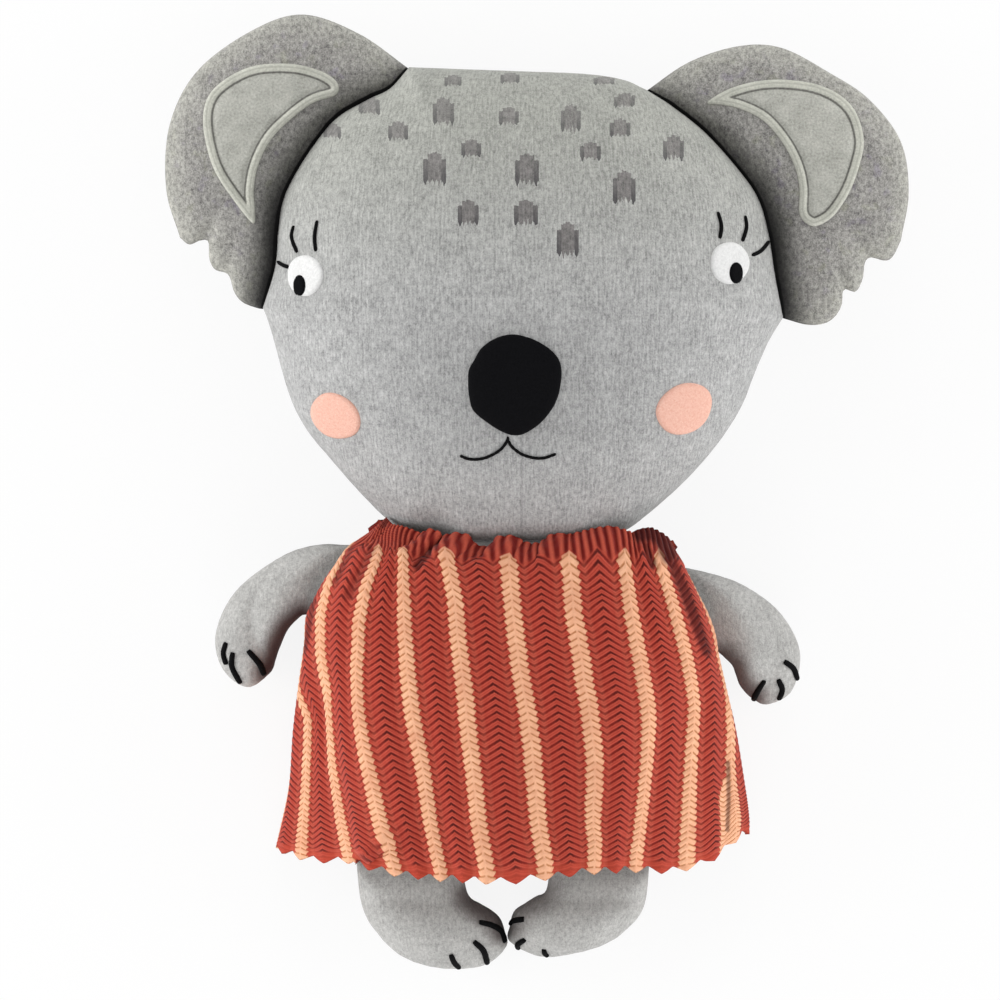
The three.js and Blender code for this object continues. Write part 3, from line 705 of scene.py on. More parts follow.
class Pad:
    """Shape of a stuffed pad: a front and a back panel that meet at a seam round an outline"""

    def __init__(
        self, outline, middle, rise, drop, rest=0.0, root=None, slope=0.0, seam=SEAM_Z, sink=1.0, opened=None
    ):
        self.outline = np.asarray(outline, float)
        self.middle = np.asarray(middle, float)
        self.rise, self.drop, self.rest = rise, drop, rest
        self.slope, self.seam, self.sink = slope, seam, sink
        self.opened = opened
        self.share = share_within(self.outline, self.middle)
        self.softened = share_within(self.softer_outline(), self.middle)
        self.from_root = distance_from(root) if root is not None else None

    def softer_outline(self):
        """The outline without its corners, which a stuffed panel loses as it rises from its seam"""
        angles = np.linspace(-math.pi, math.pi, 361)[:-1]
        spokes = np.column_stack([np.cos(angles), np.sin(angles)])
        reach = 1 / self.share(self.middle + spokes)
        weights = np.exp(-((np.arange(-45, 46) / 16) ** 2))
        around = np.concatenate([reach[-45:], reach, reach[:45]])
        return self.middle + spokes * np.convolve(around, weights / weights.sum(), "valid")[:, None]

    def rounded(self, points, share):
        near_seam = smooth(share, 0.45, 1)
        return self.softened(points) * (1 - near_seam) + share * near_seam

    def seam_height(self, points):
        if self.from_root is None:
            return np.full(len(points), float(self.seam))
        return SEAM_Z + (self.seam - SEAM_Z) * np.clip(self.from_root(points) / self.sink, 0, 1)

    def half(self, points, share, depth):
        full = depth * swell(self.rounded(points, share))
        if self.from_root is not None:
            full = at_most(full, ROOT_THICKNESS / 2 + self.slope * self.from_root(points), depth * 0.35)
        if self.opened is not None:
            full = np.hypot(full, self.opened(points))
        return full

    def front(self, points, share):
        return self.seam_height(points) + self.half(points, share, self.rise)

    def back(self, points, share):
        return np.maximum(self.rest, self.seam_height(points) - self.half(points, share, self.drop))

    def height(self, points):
        """How high the front lies over points of the plane, and 0 past the outline"""
        share = self.share(points)
        return np.where(share < 1, self.front(points, share), 0)

    def mesh(self, rings):
        """Vertices and faces of the closed pad"""
        shares = np.cos(np.linspace(0, math.pi / 2, rings + 1)[:-1]) ** (2 / SWELL_POWER)
        count = len(self.outline)
        i = np.arange(count)
        k = (i + 1) % count
        points, faces = [], []
        for side in (self.front, self.back):
            start = len(points)
            for share in shares:
                flat = self.middle + (self.outline - self.middle) * share
                points.extend(np.column_stack([flat, side(flat, np.full(count, share))]))
            points.append([*self.middle, side(self.middle[None], np.zeros(1))[0]])
            for ring in range(rings - 1):
                a, b = start + ring * count, start + (ring + 1) * count
                faces.extend(np.column_stack([a + i, a + k, b + k, b + i]).tolist())
            last = start + (rings - 1) * count
            faces.extend(np.column_stack([last + i, last + k, np.full(count, len(points) - 1)]).tolist())
        other = len(points) // 2
        faces.extend(np.column_stack([i, other + i, other + k, k]).tolist())
        return np.array(points), faces

    def unrolled(self, places):
        """Where each place lies on its panel when the panel is spread out flat"""
        flat = places[:, :2]
        way = flat - self.middle
        reach = np.linalg.norm(way, axis=1)
        share = np.clip(self.share(flat), 1e-4, 1)
        depth = np.where(places[:, 2] > self.seam_height(flat), self.rise, self.drop)
        steps = np.linspace(0, 1, 40)[None] * share[:, None]
        rise = depth[:, None] * swell(steps)
        run = np.diff(steps, axis=1) * (reach / share)[:, None]
        length = np.hypot(run, np.diff(rise, axis=1)).sum(axis=1)
        return self.middle + way * (length / np.maximum(reach, 1e-6))[:, None]


def weld(obj):
    """Joins the two panels where they meet, and turns every face outwards"""
    sewn = bmesh.new()
    sewn.from_mesh(obj.data)
    bmesh.ops.remove_doubles(sewn, verts=sewn.verts, dist=0.02 * MM)
    bmesh.ops.recalc_face_normals(sewn, faces=sewn.faces)
    sewn.to_mesh(obj.data)
    sewn.free()
    obj.data.shade_smooth()


def make_pad(name, pad, material, rings, pressure, limit, pucker=0.2, voxel=5):
    """A sewn and stuffed pad"""
    obj = mesh_object(name, *pad.mesh(rings), material)
    weld(obj)
    rest = vertex_places(obj)
    give(obj, "rest", rest)
    move_vertices(obj, rest + stuffed(obj, pad, pressure, limit, voxel))
    finish_pad(obj, pad, pucker)
    return obj


def stuffed(obj, pad, pressure, limit, voxel):
    """How far stuffing moves each point of a pad: a cloth copy of it, held at its seam, is blown up"""
    copy = obj.copy()
    copy.data = obj.data.copy()
    scene.collection.objects.link(copy)
    remesh = copy.modifiers.new("Remesh", "REMESH")
    remesh.mode = "VOXEL"
    remesh.voxel_size = voxel * MM
    apply_modifiers(copy)
    before = vertex_places(copy)
    share = pad.share(before[:, :2])
    loose = smooth(1 - share, 0.0, 0.12)
    smaller = before - vertex_normals(copy) * (limit * 0.4 * loose)[:, None]
    smaller[:, 2] = np.maximum(smaller[:, 2], pad.rest + 0.5)
    move_vertices(copy, smaller)
    held = copy.vertex_groups.new(name="held")
    for index in np.flatnonzero((share > 0.95) | (before[:, 2] < pad.rest + 0.6)):
        held.add([int(index)], 1.0, "REPLACE")
    blow_up(copy, pressure)
    move = vertex_places(copy) - before
    bpy.data.objects.remove(copy)
    move *= (limit / np.maximum(np.linalg.norm(move, axis=1), limit))[:, None]
    return carried(vertex_places(obj), before, move * loose[:, None])


CLOTH_STEPS = 20


def blow_up(obj, pressure):
    """Lets cloth swell under pressure from inside, and keeps the shape that it takes"""
    cloth = obj.modifiers.new("Cloth", "CLOTH")
    settings = cloth.settings
    settings.quality = 5
    settings.mass = 0.15
    settings.tension_stiffness = 12
    settings.compression_stiffness = 8
    settings.shear_stiffness = 4
    settings.bending_stiffness = 0.4
    settings.use_pressure = True
    settings.uniform_pressure_force = pressure
    settings.effector_weights.gravity = 0
    settings.vertex_group_mass = "held"
    cloth.point_cache.frame_start = 1
    cloth.point_cache.frame_end = CLOTH_STEPS
    for step in range(CLOTH_STEPS):
        scene.frame_set(step + 1)
    apply_modifiers(obj)
    scene.frame_set(1)


def carried(places, sources, moves):
    """The moves of nearby sources, averaged at each place"""
    finder = point_finder(sources)
    found = np.empty_like(places)
    for i, place in enumerate(places):
        near = finder.find_n(place, 8)
        weights = np.array([1 / (gap * gap + 4) for _, _, gap in near])
        found[i] = weights @ moves[[index for _, index, _ in near]] / weights.sum()
    return found


def finish_pad(obj, pad, pucker):
    """Presses the seam in, puckers the cloth beside it, and stores what the material needs"""
    rest = read(obj, "rest")
    places = vertex_places(obj)
    finder = point_finder(
        spline(np.column_stack([pad.outline, pad.seam_height(pad.outline)]), 1.0, closed=True)
    )
    found = [finder.find(place) for place in rest]
    along = np.array([index for _, index, _ in found], float)
    seam = np.array([gap for _, _, gap in found])
    ripple = np.sin(along * 0.71 + 1.9 * np.sin(along * 0.083)) * (0.6 + 0.4 * np.sin(along * 0.037))
    ripple *= pucker * np.exp(-seam / 5) * smooth(seam, 0.8, 3)
    root = np.full(len(rest), float(FAR)) if pad.from_root is None else pad.from_root(rest[:, :2])
    seam = np.where(root < 4, FAR, seam)
    groove = -0.5 * np.exp(-(((seam - SEAM_GROOVE) / 0.7) ** 2))
    places = places + vertex_normals(obj) * (ripple + groove)[:, None]
    places[:, 2] = np.maximum(places[:, 2], pad.rest + 0.05)
    move_vertices(obj, places)
    front = rest[:, 2] > pad.seam_height(rest[:, :2])
    give(obj, "place", rest)
    give(obj, "knit", np.column_stack([pad.unrolled(rest), seam]))
    give(obj, "edge", np.column_stack([root, front, np.zeros(len(rest))]))


# Head


def head_points(points):
    return np.asarray(points, float) * (HEAD_WIDTH / 2, HEAD_HEIGHT) + (0, GAP / 2)


def neck_thickness(points):
    """Half the thickness that the stuffing keeps at the neck, where head and body meet face to face"""
    x, y = points[:, 0], points[:, 1]
    faded = np.exp(-((y / NECK_HALF_THICKNESS) ** 2))
    return NECK_HALF_THICKNESS * (1 - smooth(np.abs(x), 22, 46)) * faded


HEAD_JAW_LEFT = head_points([
    (-0.257, 0), (-0.435, 0.017), (-0.512, 0.04), (-0.619, 0.097), (-0.738, 0.171),
    (-0.835, 0.237), (-0.9, 0.31), (-0.969, 0.4435), (-1, 0.492),
])
HEAD_EAR_LEFT = head_points([
    (-1, 0.492), (-0.954, 0.577), (-0.942, 0.653), (-0.923, 0.718), (-0.873, 0.777),
    (-0.792, 0.845), (-0.7115, 0.895), (-0.592, 0.933), (-0.5115, 0.955), (-0.438, 1),
])
HEAD_CROWN = head_points([(-0.438, 1), (-0.023, 0.9916), (0.231, 0.986), (0.381, 0.974), (0.473, 0.9525)])
HEAD_EAR_RIGHT = head_points([
    (0.473, 0.9525), (0.569, 0.919), (0.704, 0.86), (0.838, 0.777), (0.908, 0.718),
    (0.946, 0.644), (0.969, 0.562), (1, 0.471),
])
HEAD_JAW_RIGHT = head_points([
    (1, 0.471), (0.946, 0.422), (0.892, 0.355), (0.838, 0.281), (0.742, 0.2),
    (0.608, 0.118), (0.435, 0.036), (0.354, 0.0127), (0.257, 0),
])
HEAD_NECK = [(NECK_WIDTH / 2, GAP / 2), (-NECK_WIDTH / 2, GAP / 2)]
head_outline = joined(*(
    spline(part, 2.2)
    for part in (HEAD_JAW_LEFT, HEAD_EAR_LEFT, HEAD_CROWN, HEAD_EAR_RIGHT, HEAD_JAW_RIGHT, HEAD_NECK)
))
head_middle = head_points([(0, 0.52)])[0]
head_pad = Pad(head_outline, head_middle, HEAD_RISE, HEAD_DROP, opened=neck_thickness)
head = make_pad("head_pad", head_pad, head_knit, rings=56, pressure=4, limit=4, pucker=0.08)


# Flat pieces sewn on a surface

# How far a sewn piece's edge reaches down into the surface that carries it
EDGE_DEPTH = 0.6


def applique(name, outline, tree, profile, material, spacing=0.8):
    """A cloth piece on a surface. Its height follows a profile of the distance from its edge."""
    low, high = outline.min(axis=0) - spacing, outline.max(axis=0) + spacing
    columns, rows = (int(reach / spacing) + 2 for reach in high - low)
    grid = np.array([low + (i * spacing, j * spacing) for j in range(rows) for i in range(columns)])
    on_edge, distance = nearest_on(outline, grid, closed=True)
    inside = np.where(inside_outline(outline, grid), distance, -distance)
    cells = grid_cells(rows, columns)
    used, faces = np.unique(cells[inside[cells].mean(axis=1) > 0], return_inverse=True)
    faces = faces.reshape(-1, 4).tolist()
    rim_sides = open_sides(faces)
    rim = sorted({start for start, _ in rim_sides})
    flat = grid[used]
    flat[rim] = on_edge[used][rim]
    depth = np.maximum(inside[used], 0)
    depth[rim] = 0
    places, normals = on_surface(tree, flat)
    points = places + normals * profile(depth)[:, None]
    lower = {index: len(points) + i for i, index in enumerate(rim)}
    faces.extend([b, a, lower[a], lower[b]] for a, b in rim_sides)
    points = np.vstack([points, places[rim] - normals[rim] * EDGE_DEPTH])
    obj = mesh_object(name, points, faces, material)
    give(obj, "place", points)
    give(obj, "knit", np.column_stack([points[:, :2], np.append(depth, np.zeros(len(rim)))]))
    return obj


def ellipse(middle, half, turn, wobble):
    """Outline of an oval piece, cut a little unevenly"""
    angle = np.linspace(0, 2 * math.pi, 49)[:-1]
    reach = 1 + wobble * np.sin(3 * angle + 1) + wobble * 0.6 * np.sin(5 * angle + 2)
    x = half[0] * np.cos(angle) * reach
    y = half[1] * np.sin(angle) * reach
    c, s = math.cos(turn), math.sin(turn)
    return np.column_stack([x * c - y * s, x * s + y * c]) + middle


def cushioned(edge, full, over):
    """Profile of a cloth piece whose edge is turned under, from its edge to its full height"""
    return lambda depth: edge + (full - edge) * np.sqrt(1 - (1 - np.clip(depth / over, 0, 1)) ** 2)


head_tree = surface_tree(head)

NOSE_PIXELS = [
    (512, 334.4), (496.3, 337.9), (481.9, 347.6), (474.4, 359.7), (468.9, 370), (468.1, 382.7),
    (469.3, 397.6), (473.8, 411), (489.4, 424), (504.3, 432.6), (514.6, 435.3), (525, 433.2),
    (539.9, 423.4), (552, 409), (558.3, 395.3), (561.1, 380.4), (561.4, 368.9), (558.3, 358.6),
    (550.2, 349.4), (537.6, 341.3), (525, 336.5),
]

# Oval pieces of the face: middle, half the width and the height, and turn
OVALS = {
    "left_eye": ((-102.5, 125.1), (8.4, 9.7), 0),
    "right_eye": ((97.3, 131), (9.2, 9.9), 0),
    "left_cheek": ((-88.3, 58.9), (12.5, 9.9), -0.6),
    "right_cheek": ((75.9, 62.4), (13.9, 11.3), 0.6),
    "left_pupil": ((-105.3, 120.4), (2.8, 4.9), 0),
    "right_pupil": ((100.4, 126.3), (3.1, 5.0), 0),
}

# For each kind: the cloth, how uneven the outline is, the height, the width of the rounded edge, and
# the distance of the mesh's points
OVAL_KINDS = {
    "eye": ("white_cloth", 0.012, 1.3, 2, 0.8),
    "cheek": ("pink_cloth", 0.015, 1.2, 2, 0.8),
    "pupil": ("black_cloth", 0, 1.1, 1.5, 0.5),
}

nose_outline = spline(pixels(NOSE_PIXELS), 1.2, closed=True)
nose_profile = cushioned(0.3, 3.2, 9)
patches = {"nose": applique("nose_cloth", nose_outline, head_tree, nose_profile, felts["black_cloth"])}
patch_slots = {"nose": "black_cloth"}
for node, (middle, half, turn) in OVALS.items():
    side, kind = node.split("_")
    patch_slots[node], wobble, height, rounding, spacing = OVAL_KINDS[kind]
    patches[node] = applique(
        f"{node}_cloth",
        ellipse(middle, half, turn, wobble),
        surface_tree(patches[f"{side}_eye"]) if kind == "pupil" else head_tree,
        cushioned(0.2, height, rounding),
        felts[patch_slots[node]],
        spacing,
    )


# Stitches


def stitched(name, points, tree, width, material, stitch=3.4, height=0.75, blunt=0.6):
    """A sewn line: one thick thread on a surface, narrower where each stitch goes down"""
    step = 0.5
    line = spline(points, step)
    count = len(line)
    run = np.arange(count) * step
    places, normals = on_surface(tree, line)
    sides = np.cross(np.gradient(places, axis=0), normals)
    sides /= np.linalg.norm(sides, axis=1)[:, None]
    swelling = 0.75 + 0.25 * np.abs(np.sin(math.pi * run / stitch)) ** 0.4
    end = np.minimum(run, run[-1] - run)
    swelling *= blunt + (1 - blunt) * np.sqrt(np.clip(end / (width / 2), 0, 1))
    turns = np.linspace(0, 2 * math.pi, 13)[:-1]
    across = np.cos(turns)[None] * (swelling * width / 2)[:, None]
    up = np.sin(turns)[None] * (swelling * height)[:, None] + 0.3 * height
    rings = places[:, None] + sides[:, None] * across[:, :, None] + normals[:, None] * up[:, :, None]
    ring = len(turns)
    faces = [
        [i * ring + j, i * ring + (j + 1) % ring, (i + 1) * ring + (j + 1) % ring, (i + 1) * ring + j]
        for i in range(count - 1)
        for j in range(ring)
    ]
    faces.append(list(range(ring))[::-1])
    faces.append([(count - 1) * ring + j for j in range(ring)])
    obj = mesh_object(name, rings.reshape(-1, 3), faces, material)
    strands = [(run[i], j / ring, 0) for i in range(count) for j in range(ring)]
    give(obj, "strand", strands)
    return obj


# Two halves of the mouth, in pixels of the photograph, and three lashes beside each eye, in mm
MOUTH = {
    "left": [
        (507.7, 436.6), (507.5, 440), (502, 448), (494, 453.8), (482.5, 458.4), (469.9, 459), (460.1, 455.6),
    ],
    "right": [(508.6, 440.5), (511.2, 445.8), (520.4, 453.3), (531.8, 457.3), (543.3, 457.9), (556, 453.8)],
}
LASHES = {
    "left": [
        [(-115.5, 131.6), (-113, 130), (-110.3, 129)],
        [(-107.9, 148.6), (-108.8, 143), (-106.3, 136)],
        [(-96.9, 151), (-98, 143.5), (-97.5, 136.5)],
    ],
    "right": [
        [(91.7, 155), (93.3, 148.6), (92.6, 142.6)],
        [(104.6, 153.2), (105.1, 147.5), (103.2, 141.2)],
        [(107.8, 134.6), (111.8, 136.6), (115.6, 141)],
    ],
}
face_stitches = {}
for side in ("left", "right"):
    face_stitches[f"mouth_stitch_{side}"] = stitched(
        f"mouth_thread_{side}", pixels(MOUTH[side]), head_tree, 1.5, black_thread, stitch=2.6
    )
    for i, points in enumerate(LASHES[side]):
        face_stitches[f"{side}_lash_{i + 1}"] = stitched(
            f"{side}_lash_thread_{i + 1}", points, head_tree, 2.0, black_thread, stitch=20, height=0.9
        )


# Ears


class EarShape:
    """An ear past the head's seam, in shares of half the line between its roots and of its reach"""

    def __init__(self, seam, reach, outline):
        upper, lower = (seam[0], seam[-1]) if seam[0][1] > seam[-1][1] else (seam[-1], seam[0])
        self.centre = (upper + lower) / 2
        self.down = lower - self.centre
        out = np.array([self.down[1], -self.down[0]])
        out *= reach / np.linalg.norm(out)
        self.out = out if out @ (self.centre - head_middle) > 0 else -out
        clear = seam - head_middle
        self.root = seam - clear / np.linalg.norm(clear, axis=1)[:, None] * TUCK
        if self.root[0][1] < self.root[-1][1]:
            self.root = self.root[::-1]
        round_part = spline([self.root[0], *self.place(outline[0])], 3)
        scallops = spline([round_part[-1], *self.place(outline[1]), self.root[-1]], 1.5)
        self.outline = joined(round_part, scallops, self.root[::-1])

    def place(self, shares):
        shares = np.asarray(shares, float)
        return self.centre + shares[:, :1] * self.down + shares[:, 1:] * self.out


LEFT_EAR_REACH, RIGHT_EAR_REACH = 85.8, 90.5

# Each ear's outline from its upper root: the round part, then the scallops down to its lower root
LEFT_EAR_OUTLINE = (
    [
        (-1.02, 0.33), (-0.93, 0.65), (-0.64, 0.846), (-0.19, 0.987), (0.24, 0.96), (0.635, 0.795),
        (0.881, 0.59),
    ],
    [
        (0.89, 0.527), (0.825, 0.487), (0.8, 0.447), (0.9, 0.393), (0.946, 0.334), (0.928, 0.258),
        (1.01, 0.182), (1.043, 0.108), (1.017, 0.011),
    ],
)
RIGHT_EAR_OUTLINE = (
    [
        (-1.013, 0.267), (-0.923, 0.533), (-0.744, 0.72), (-0.397, 0.867), (-0.078, 0.971), (0.317, 1),
        (0.676, 0.9), (0.961, 0.733),
    ],
    [
        (1.032, 0.655), (1.028, 0.608), (0.954, 0.554), (0.963, 0.514), (1.058, 0.461), (1.115, 0.395),
        (1.056, 0.347), (1.144, 0.298), (1.195, 0.235), (1.197, 0.167), (1.134, 0.084),
    ],
)
LEFT_PATCH = [
    (0.527, 0.286), (0.441, 0.474), (0.334, 0.634), (0.166, 0.77), (0.009, 0.845), (-0.14, 0.857),
    (-0.315, 0.803), (-0.462, 0.712), (-0.593, 0.555), (-0.649, 0.42), (-0.656, 0.327), (-0.623, 0.273),
    (-0.554, 0.266), (-0.434, 0.345), (-0.265, 0.401), (-0.06, 0.44), (0.14, 0.429), (0.31, 0.381),
    (0.434, 0.317),
]
RIGHT_PATCH = [
    (-0.683, 0.233), (-0.685, 0.373), (-0.62, 0.529), (-0.514, 0.661), (-0.366, 0.781), (-0.195, 0.856),
    (-0.022, 0.875), (0.173, 0.836), (0.306, 0.757), (0.447, 0.637), (0.54, 0.501), (0.543, 0.403),
    (0.497, 0.361), (0.392, 0.351), (0.224, 0.42), (0.063, 0.457), (-0.132, 0.465), (-0.347, 0.439),
    (-0.517, 0.364), (-0.62, 0.285),
]


def rolled_border(depth):
    """Profile of an ear patch: a raised rolled border with a groove in it, a stitched dip, then flat"""
    from_middle = (depth - BORDER_WIDTH / 2) / (BORDER_WIDTH / 2)
    roll = np.sqrt(np.clip(1 - from_middle**2, 0, 1))
    groove = 0.3 * np.exp(-((from_middle / 0.22) ** 2))
    inner = 0.9 * smooth(depth, BORDER_WIDTH + 0.2, BORDER_WIDTH + 3)
    return 0.2 + np.where(depth < BORDER_WIDTH, 1.5 * roll - groove, 0) + inner


ear_parts = {}
for side, seam, reach, outline, patch in (
    ("left", HEAD_EAR_LEFT, LEFT_EAR_REACH, LEFT_EAR_OUTLINE, LEFT_PATCH),
    ("right", HEAD_EAR_RIGHT, RIGHT_EAR_REACH, RIGHT_EAR_OUTLINE, RIGHT_PATCH),
):
    shape = EarShape(spline(seam, 2.2), reach, outline)
    middle = shape.place([(0.05, 0.52)])[0]
    pad = Pad(shape.outline, middle, EAR_RISE, EAR_DROP, root=shape.root, slope=EAR_ROOT_SLOPE)
    ear = make_pad(f"{side}_ear_pad", pad, ear_knit, rings=36, pressure=4, limit=2.5, voxel=4)
    border = spline(shape.place(patch), 1.5, closed=True)
    ear_patch = applique(
        f"{side}_ear_patch_cloth", border, surface_tree(ear), rolled_border, bordered_knit, spacing=0.7
    )
    ear_parts[side] = {"ear": ear, "patch": ear_patch, "shape": shape}


# Body and limbs


def body_points(points):
    return np.asarray(points, float) * (BODY_WIDTH / 2, BODY_HEIGHT) - (0, GAP / 2)


left_arm_root = body_points([(-0.84, -0.006), (-1.042, -0.213)])
right_arm_root = body_points([(0.78, -0.07), (0.958, -0.312)])
left_leg_root = body_points([(-0.825, -1), (-0.306, -1)])
right_leg_root = body_points([(0.627, -1), (0.133, -1)])
BODY_SIDE_LEFT = body_points([(-1.013, -0.405), (-0.933, -0.639), (-0.854, -0.843)])
BODY_SIDE_RIGHT = body_points([(0.696, -0.843), (0.785, -0.639), (0.904, -0.434)])
CROTCH = body_points([(-0.089, -0.9)])

# How far above the frame's leg seams these pads meet, so that the dress's hem hides the seam
LEG_SEAM_LIFT = 11.2
left_leg_seam, right_leg_seam = left_leg_root + (0, LEG_SEAM_LIFT), right_leg_root + (0, LEG_SEAM_LIFT)
NECK_LEFT, NECK_RIGHT = (-NECK_WIDTH / 2, -GAP / 2), (NECK_WIDTH / 2, -GAP / 2)
body_outline = joined(*(
    spline(part, 2.5)
    for part in (
        [NECK_LEFT, left_arm_root[0]],
        left_arm_root,
        [left_arm_root[1], *BODY_SIDE_LEFT, left_leg_seam[0]],
        left_leg_seam,
        [left_leg_seam[1], *CROTCH, right_leg_seam[1]],
        right_leg_seam[::-1],
        [right_leg_seam[0], *BODY_SIDE_RIGHT, right_arm_root[1]],
        right_arm_root[::-1],
        [right_arm_root[0], *body_points([(0.627, -0.015)]), NECK_RIGHT],
        [NECK_RIGHT, NECK_LEFT],
    )
))
body_pad = Pad(
    body_outline, body_points([(-0.063, -0.526)])[0], BODY_RISE, BODY_DROP,
    rest=KNIT_THICKNESS + GAP, opened=neck_thickness,
)
body = make_pad("body_pad", body_pad, grey_knit, rings=36, pressure=3, limit=1.2)

# The limbs, in mm from the middle of each one's root: "painted_bend_shade" is how dark the painted shade
# on the inner side of the bend is
LIMBS = {
    "left_arm": {
        "root": left_arm_root, "thickness": ARM_THICKNESS, "sink": ARM_SINK, "painted_bend_shade": 0.98,
        "outer": [(-6.9, 16.2), (-24.2, 10.5), (-45.4, -5.5), (-55, -25.3), (-52, -42.2)],
        "tip": (-40.2, -51.1),
        "inner": [(-29.5, -44.5), (-26.7, -38.5), (-24.8, -32.8), (-20, -22.9), (-13.9, -17.7)],
        "middle": (-35.1, -15.8),
        "claws": [
            [(-50, -30), (-51.2, -35), (-50, -40)],
            [(-46.9, -34.6), (-47.2, -41.2), (-43.5, -48.6)],
            [(-39.8, -33.7), (-34.6, -39.8), (-32.4, -44.6)],
        ],
    },
    "right_arm": {
        "root": right_arm_root, "thickness": ARM_THICKNESS, "sink": ARM_SINK, "painted_bend_shade": 0.85,
        "outer": [(4.3, 16.2), (21.2, 10.1), (38.2, -2.7), (47.6, -21), (43.9, -39.4)],
        "tip": (32.5, -46),
        "inner": [(25, -43.2), (19.3, -37.5), (17, -31.8), (15.1, -27.2), (10.9, -23.3)],
        "middle": (27.4, -14.9),
        "claws": [
            [(40.1, -25.7), (44.3, -29), (46.2, -34.1)],
            [(37.3, -34.2), (39.1, -38.9), (37.7, -43.1)],
            [(30.7, -34.6), (27.8, -39.3), (25.9, -43.3)],
        ],
    },
    "left_leg": {
        "root": left_leg_root, "thickness": LEG_THICKNESS, "sink": LEG_SINK, "lift": LEG_SEAM_LIFT,
        "painted_bend_shade": 0.8,
        "outer": [(-22, -9.9), (-14.3, -23.6), (-2.2, -34.4), (15.7, -39.6), (35.6, -38.2)],
        "tip": (46.2, -29.2),
        "inner": [(45.2, -21.2), (43.2, -16), (39.3, -12.3), (33.7, -9), (28, -4.3)],
        "middle": (12, -18),
        "claws": [
            [(33.3, -17.9), (38.9, -19.3), (43.2, -21.9), (45.2, -27)],
            [(30.8, -26.9), (35.1, -31.1), (37, -36.8)],
            [(20, -33), (21.4, -36.4), (23.7, -39)],
        ],
    },
    "right_leg": {
        "root": right_leg_root, "thickness": LEG_THICKNESS, "sink": LEG_SINK, "lift": LEG_SEAM_LIFT,
        "painted_bend_shade": 0.5,
        "outer": [(21.2, -9), (14.1, -19.8), (3.3, -27.8), (-11.8, -32.5), (-28.3, -34)],
        "tip": (-42.6, -26.9),
        "inner": [(-42.5, -19.4), (-40.5, -12.7), (-35.4, -9), (-30.2, -5.7), (-25.4, -2.4)],
        "middle": (-11, -15),
        "claws": [
            [(-42, -18.6), (-40.4, -17.2), (-35.8, -16.5)],
            [(-35.3, -25.9), (-38.6, -28.3), (-38.1, -30.6)],
            [(-26.4, -30.6), (-25.9, -32.4), (-24.9, -33.4)],
        ],
    },
}


def seen_at(points, height):
    """Places at a height that the camera sees where the given ones would be at the side seam's height"""
    camera = CAMERA_PLACE[:2]
    return camera + (points - camera) * (1 + (SEAM_Z - height) / CAMERA_DISTANCE)


def paint_bend_shade(limb, line, strength):
    """Paints shade on a limb's cloth along the hollow side of its bend"""
    edge = read(limb, "edge")
    gap = distance_from(line)(read(limb, "rest")[:, :2])
    edge[:, 2] = strength * (1 - smooth(gap, 1, 12))
    give(limb, "edge", edge)


def make_limb(name, root, thickness, sink, outer, tip, inner, middle, claws, painted_bend_shade, lift=0):
    """A limb's pad, and the threads of its claws"""
    centre = root.mean(axis=0)
    half = thickness / 2
    chord = root[1] - root[0]
    away = np.array([chord[1], -chord[0]])
    away *= TUCK / np.linalg.norm(away)
    start, end = root + (0, lift) + (away if away @ middle < 0 else -away)
    around = seen_at(np.array([*outer, tip, *inner]) + centre, half)
    spacing = 1.6
    outline = joined(spline([start, *around, end], spacing), spline([end, start], spacing))
    pad = Pad(
        outline, centre + middle, half, half * UNDERSIDE_FULLNESS,
        root=[start, end], slope=LIMB_ROOT_SLOPE, seam=half, sink=sink,
    )
    limb = make_pad(f"{name}_pad", pad, grey_knit, rings=30, pressure=4, limit=2.5, voxel=4)
    paint_bend_shade(limb, around[-len(inner) :], painted_bend_shade)
    tree = surface_tree(limb)
    stitches = [
        stitched(
            f"{name}_claw_thread_{i + 1}", np.array(points) + centre, tree, 3.1, black_thread,
            stitch=40, height=1.2, blunt=0.85,
        )
        for i, points in enumerate(claws)
    ]
    return limb, stitches


limbs = {name: make_limb(name, **parts) for name, parts in LIMBS.items()}


# Dress

# Rows from the neckline to the hem, in pixels of the photograph: left end, height of the middle and
# right end, then how high the middle, the two ends and the sides that run into them lie in mm
DRESS_ROWS = np.array([
    (387, 518, 543, 668, 538, 66, 50, 50),
    (368, 534, 553, 675, 551, 72, 49, 49),
    (350, 546, 565, 684, 566, 77, 48, 49),
    (338, 561, 580, 692, 582, 80, 48, 49),
    (325, 579, 597, 699, 597, 82, 48, 49),
    (315, 599, 613, 707, 613, 84, 46, 47),
    (307, 616, 630, 714, 632, 84, 34, 45),
    (305, 643, 655, 718, 655, 84, 16, 42),
    (300, 680, 690, 725, 686, 84, 3.3, 37),
    (294, 730, 735, 735, 730, 84, 3.3, 29),
    (290, 785, 790, 744, 785, 81, 3.3, 17),
    (281, 827, 848, 748, 813, 74, 3.3, 10),
    (276, 846, 880, 749, 829, 68, 3.3, 7),
], float)

# Share of the dress's columns that hang straight down at each side, out of the camera's sight
WALL_SHARE = 0.07

# The neckline and the hem, in pixels of the photograph
NECKLINE = [
    (387, 518), (393, 525), (403, 527), (416, 532), (423, 536), (431, 532), (438, 535), (442, 544),
    (450, 541), (459, 538), (468, 538), (473, 545), (483, 549), (493, 547), (499, 540), (514, 540),
    (521, 546), (532, 548), (543, 546), (550, 538), (560, 535), (571, 539), (583, 538), (592, 536),
    (604, 532), (611, 530), (623, 532), (631, 535), (640, 530), (650, 528), (659, 532), (668, 538),
]
HEM_LINE = [
    (273, 846), (289, 853), (310, 859), (333, 860), (358, 859), (376, 865), (404, 872), (430, 877),
    (455, 878), (507, 879), (551, 875), (587, 868), (615, 867), (643, 869), (673, 870), (704, 862),
    (724, 850), (735, 839), (752, 829),
]

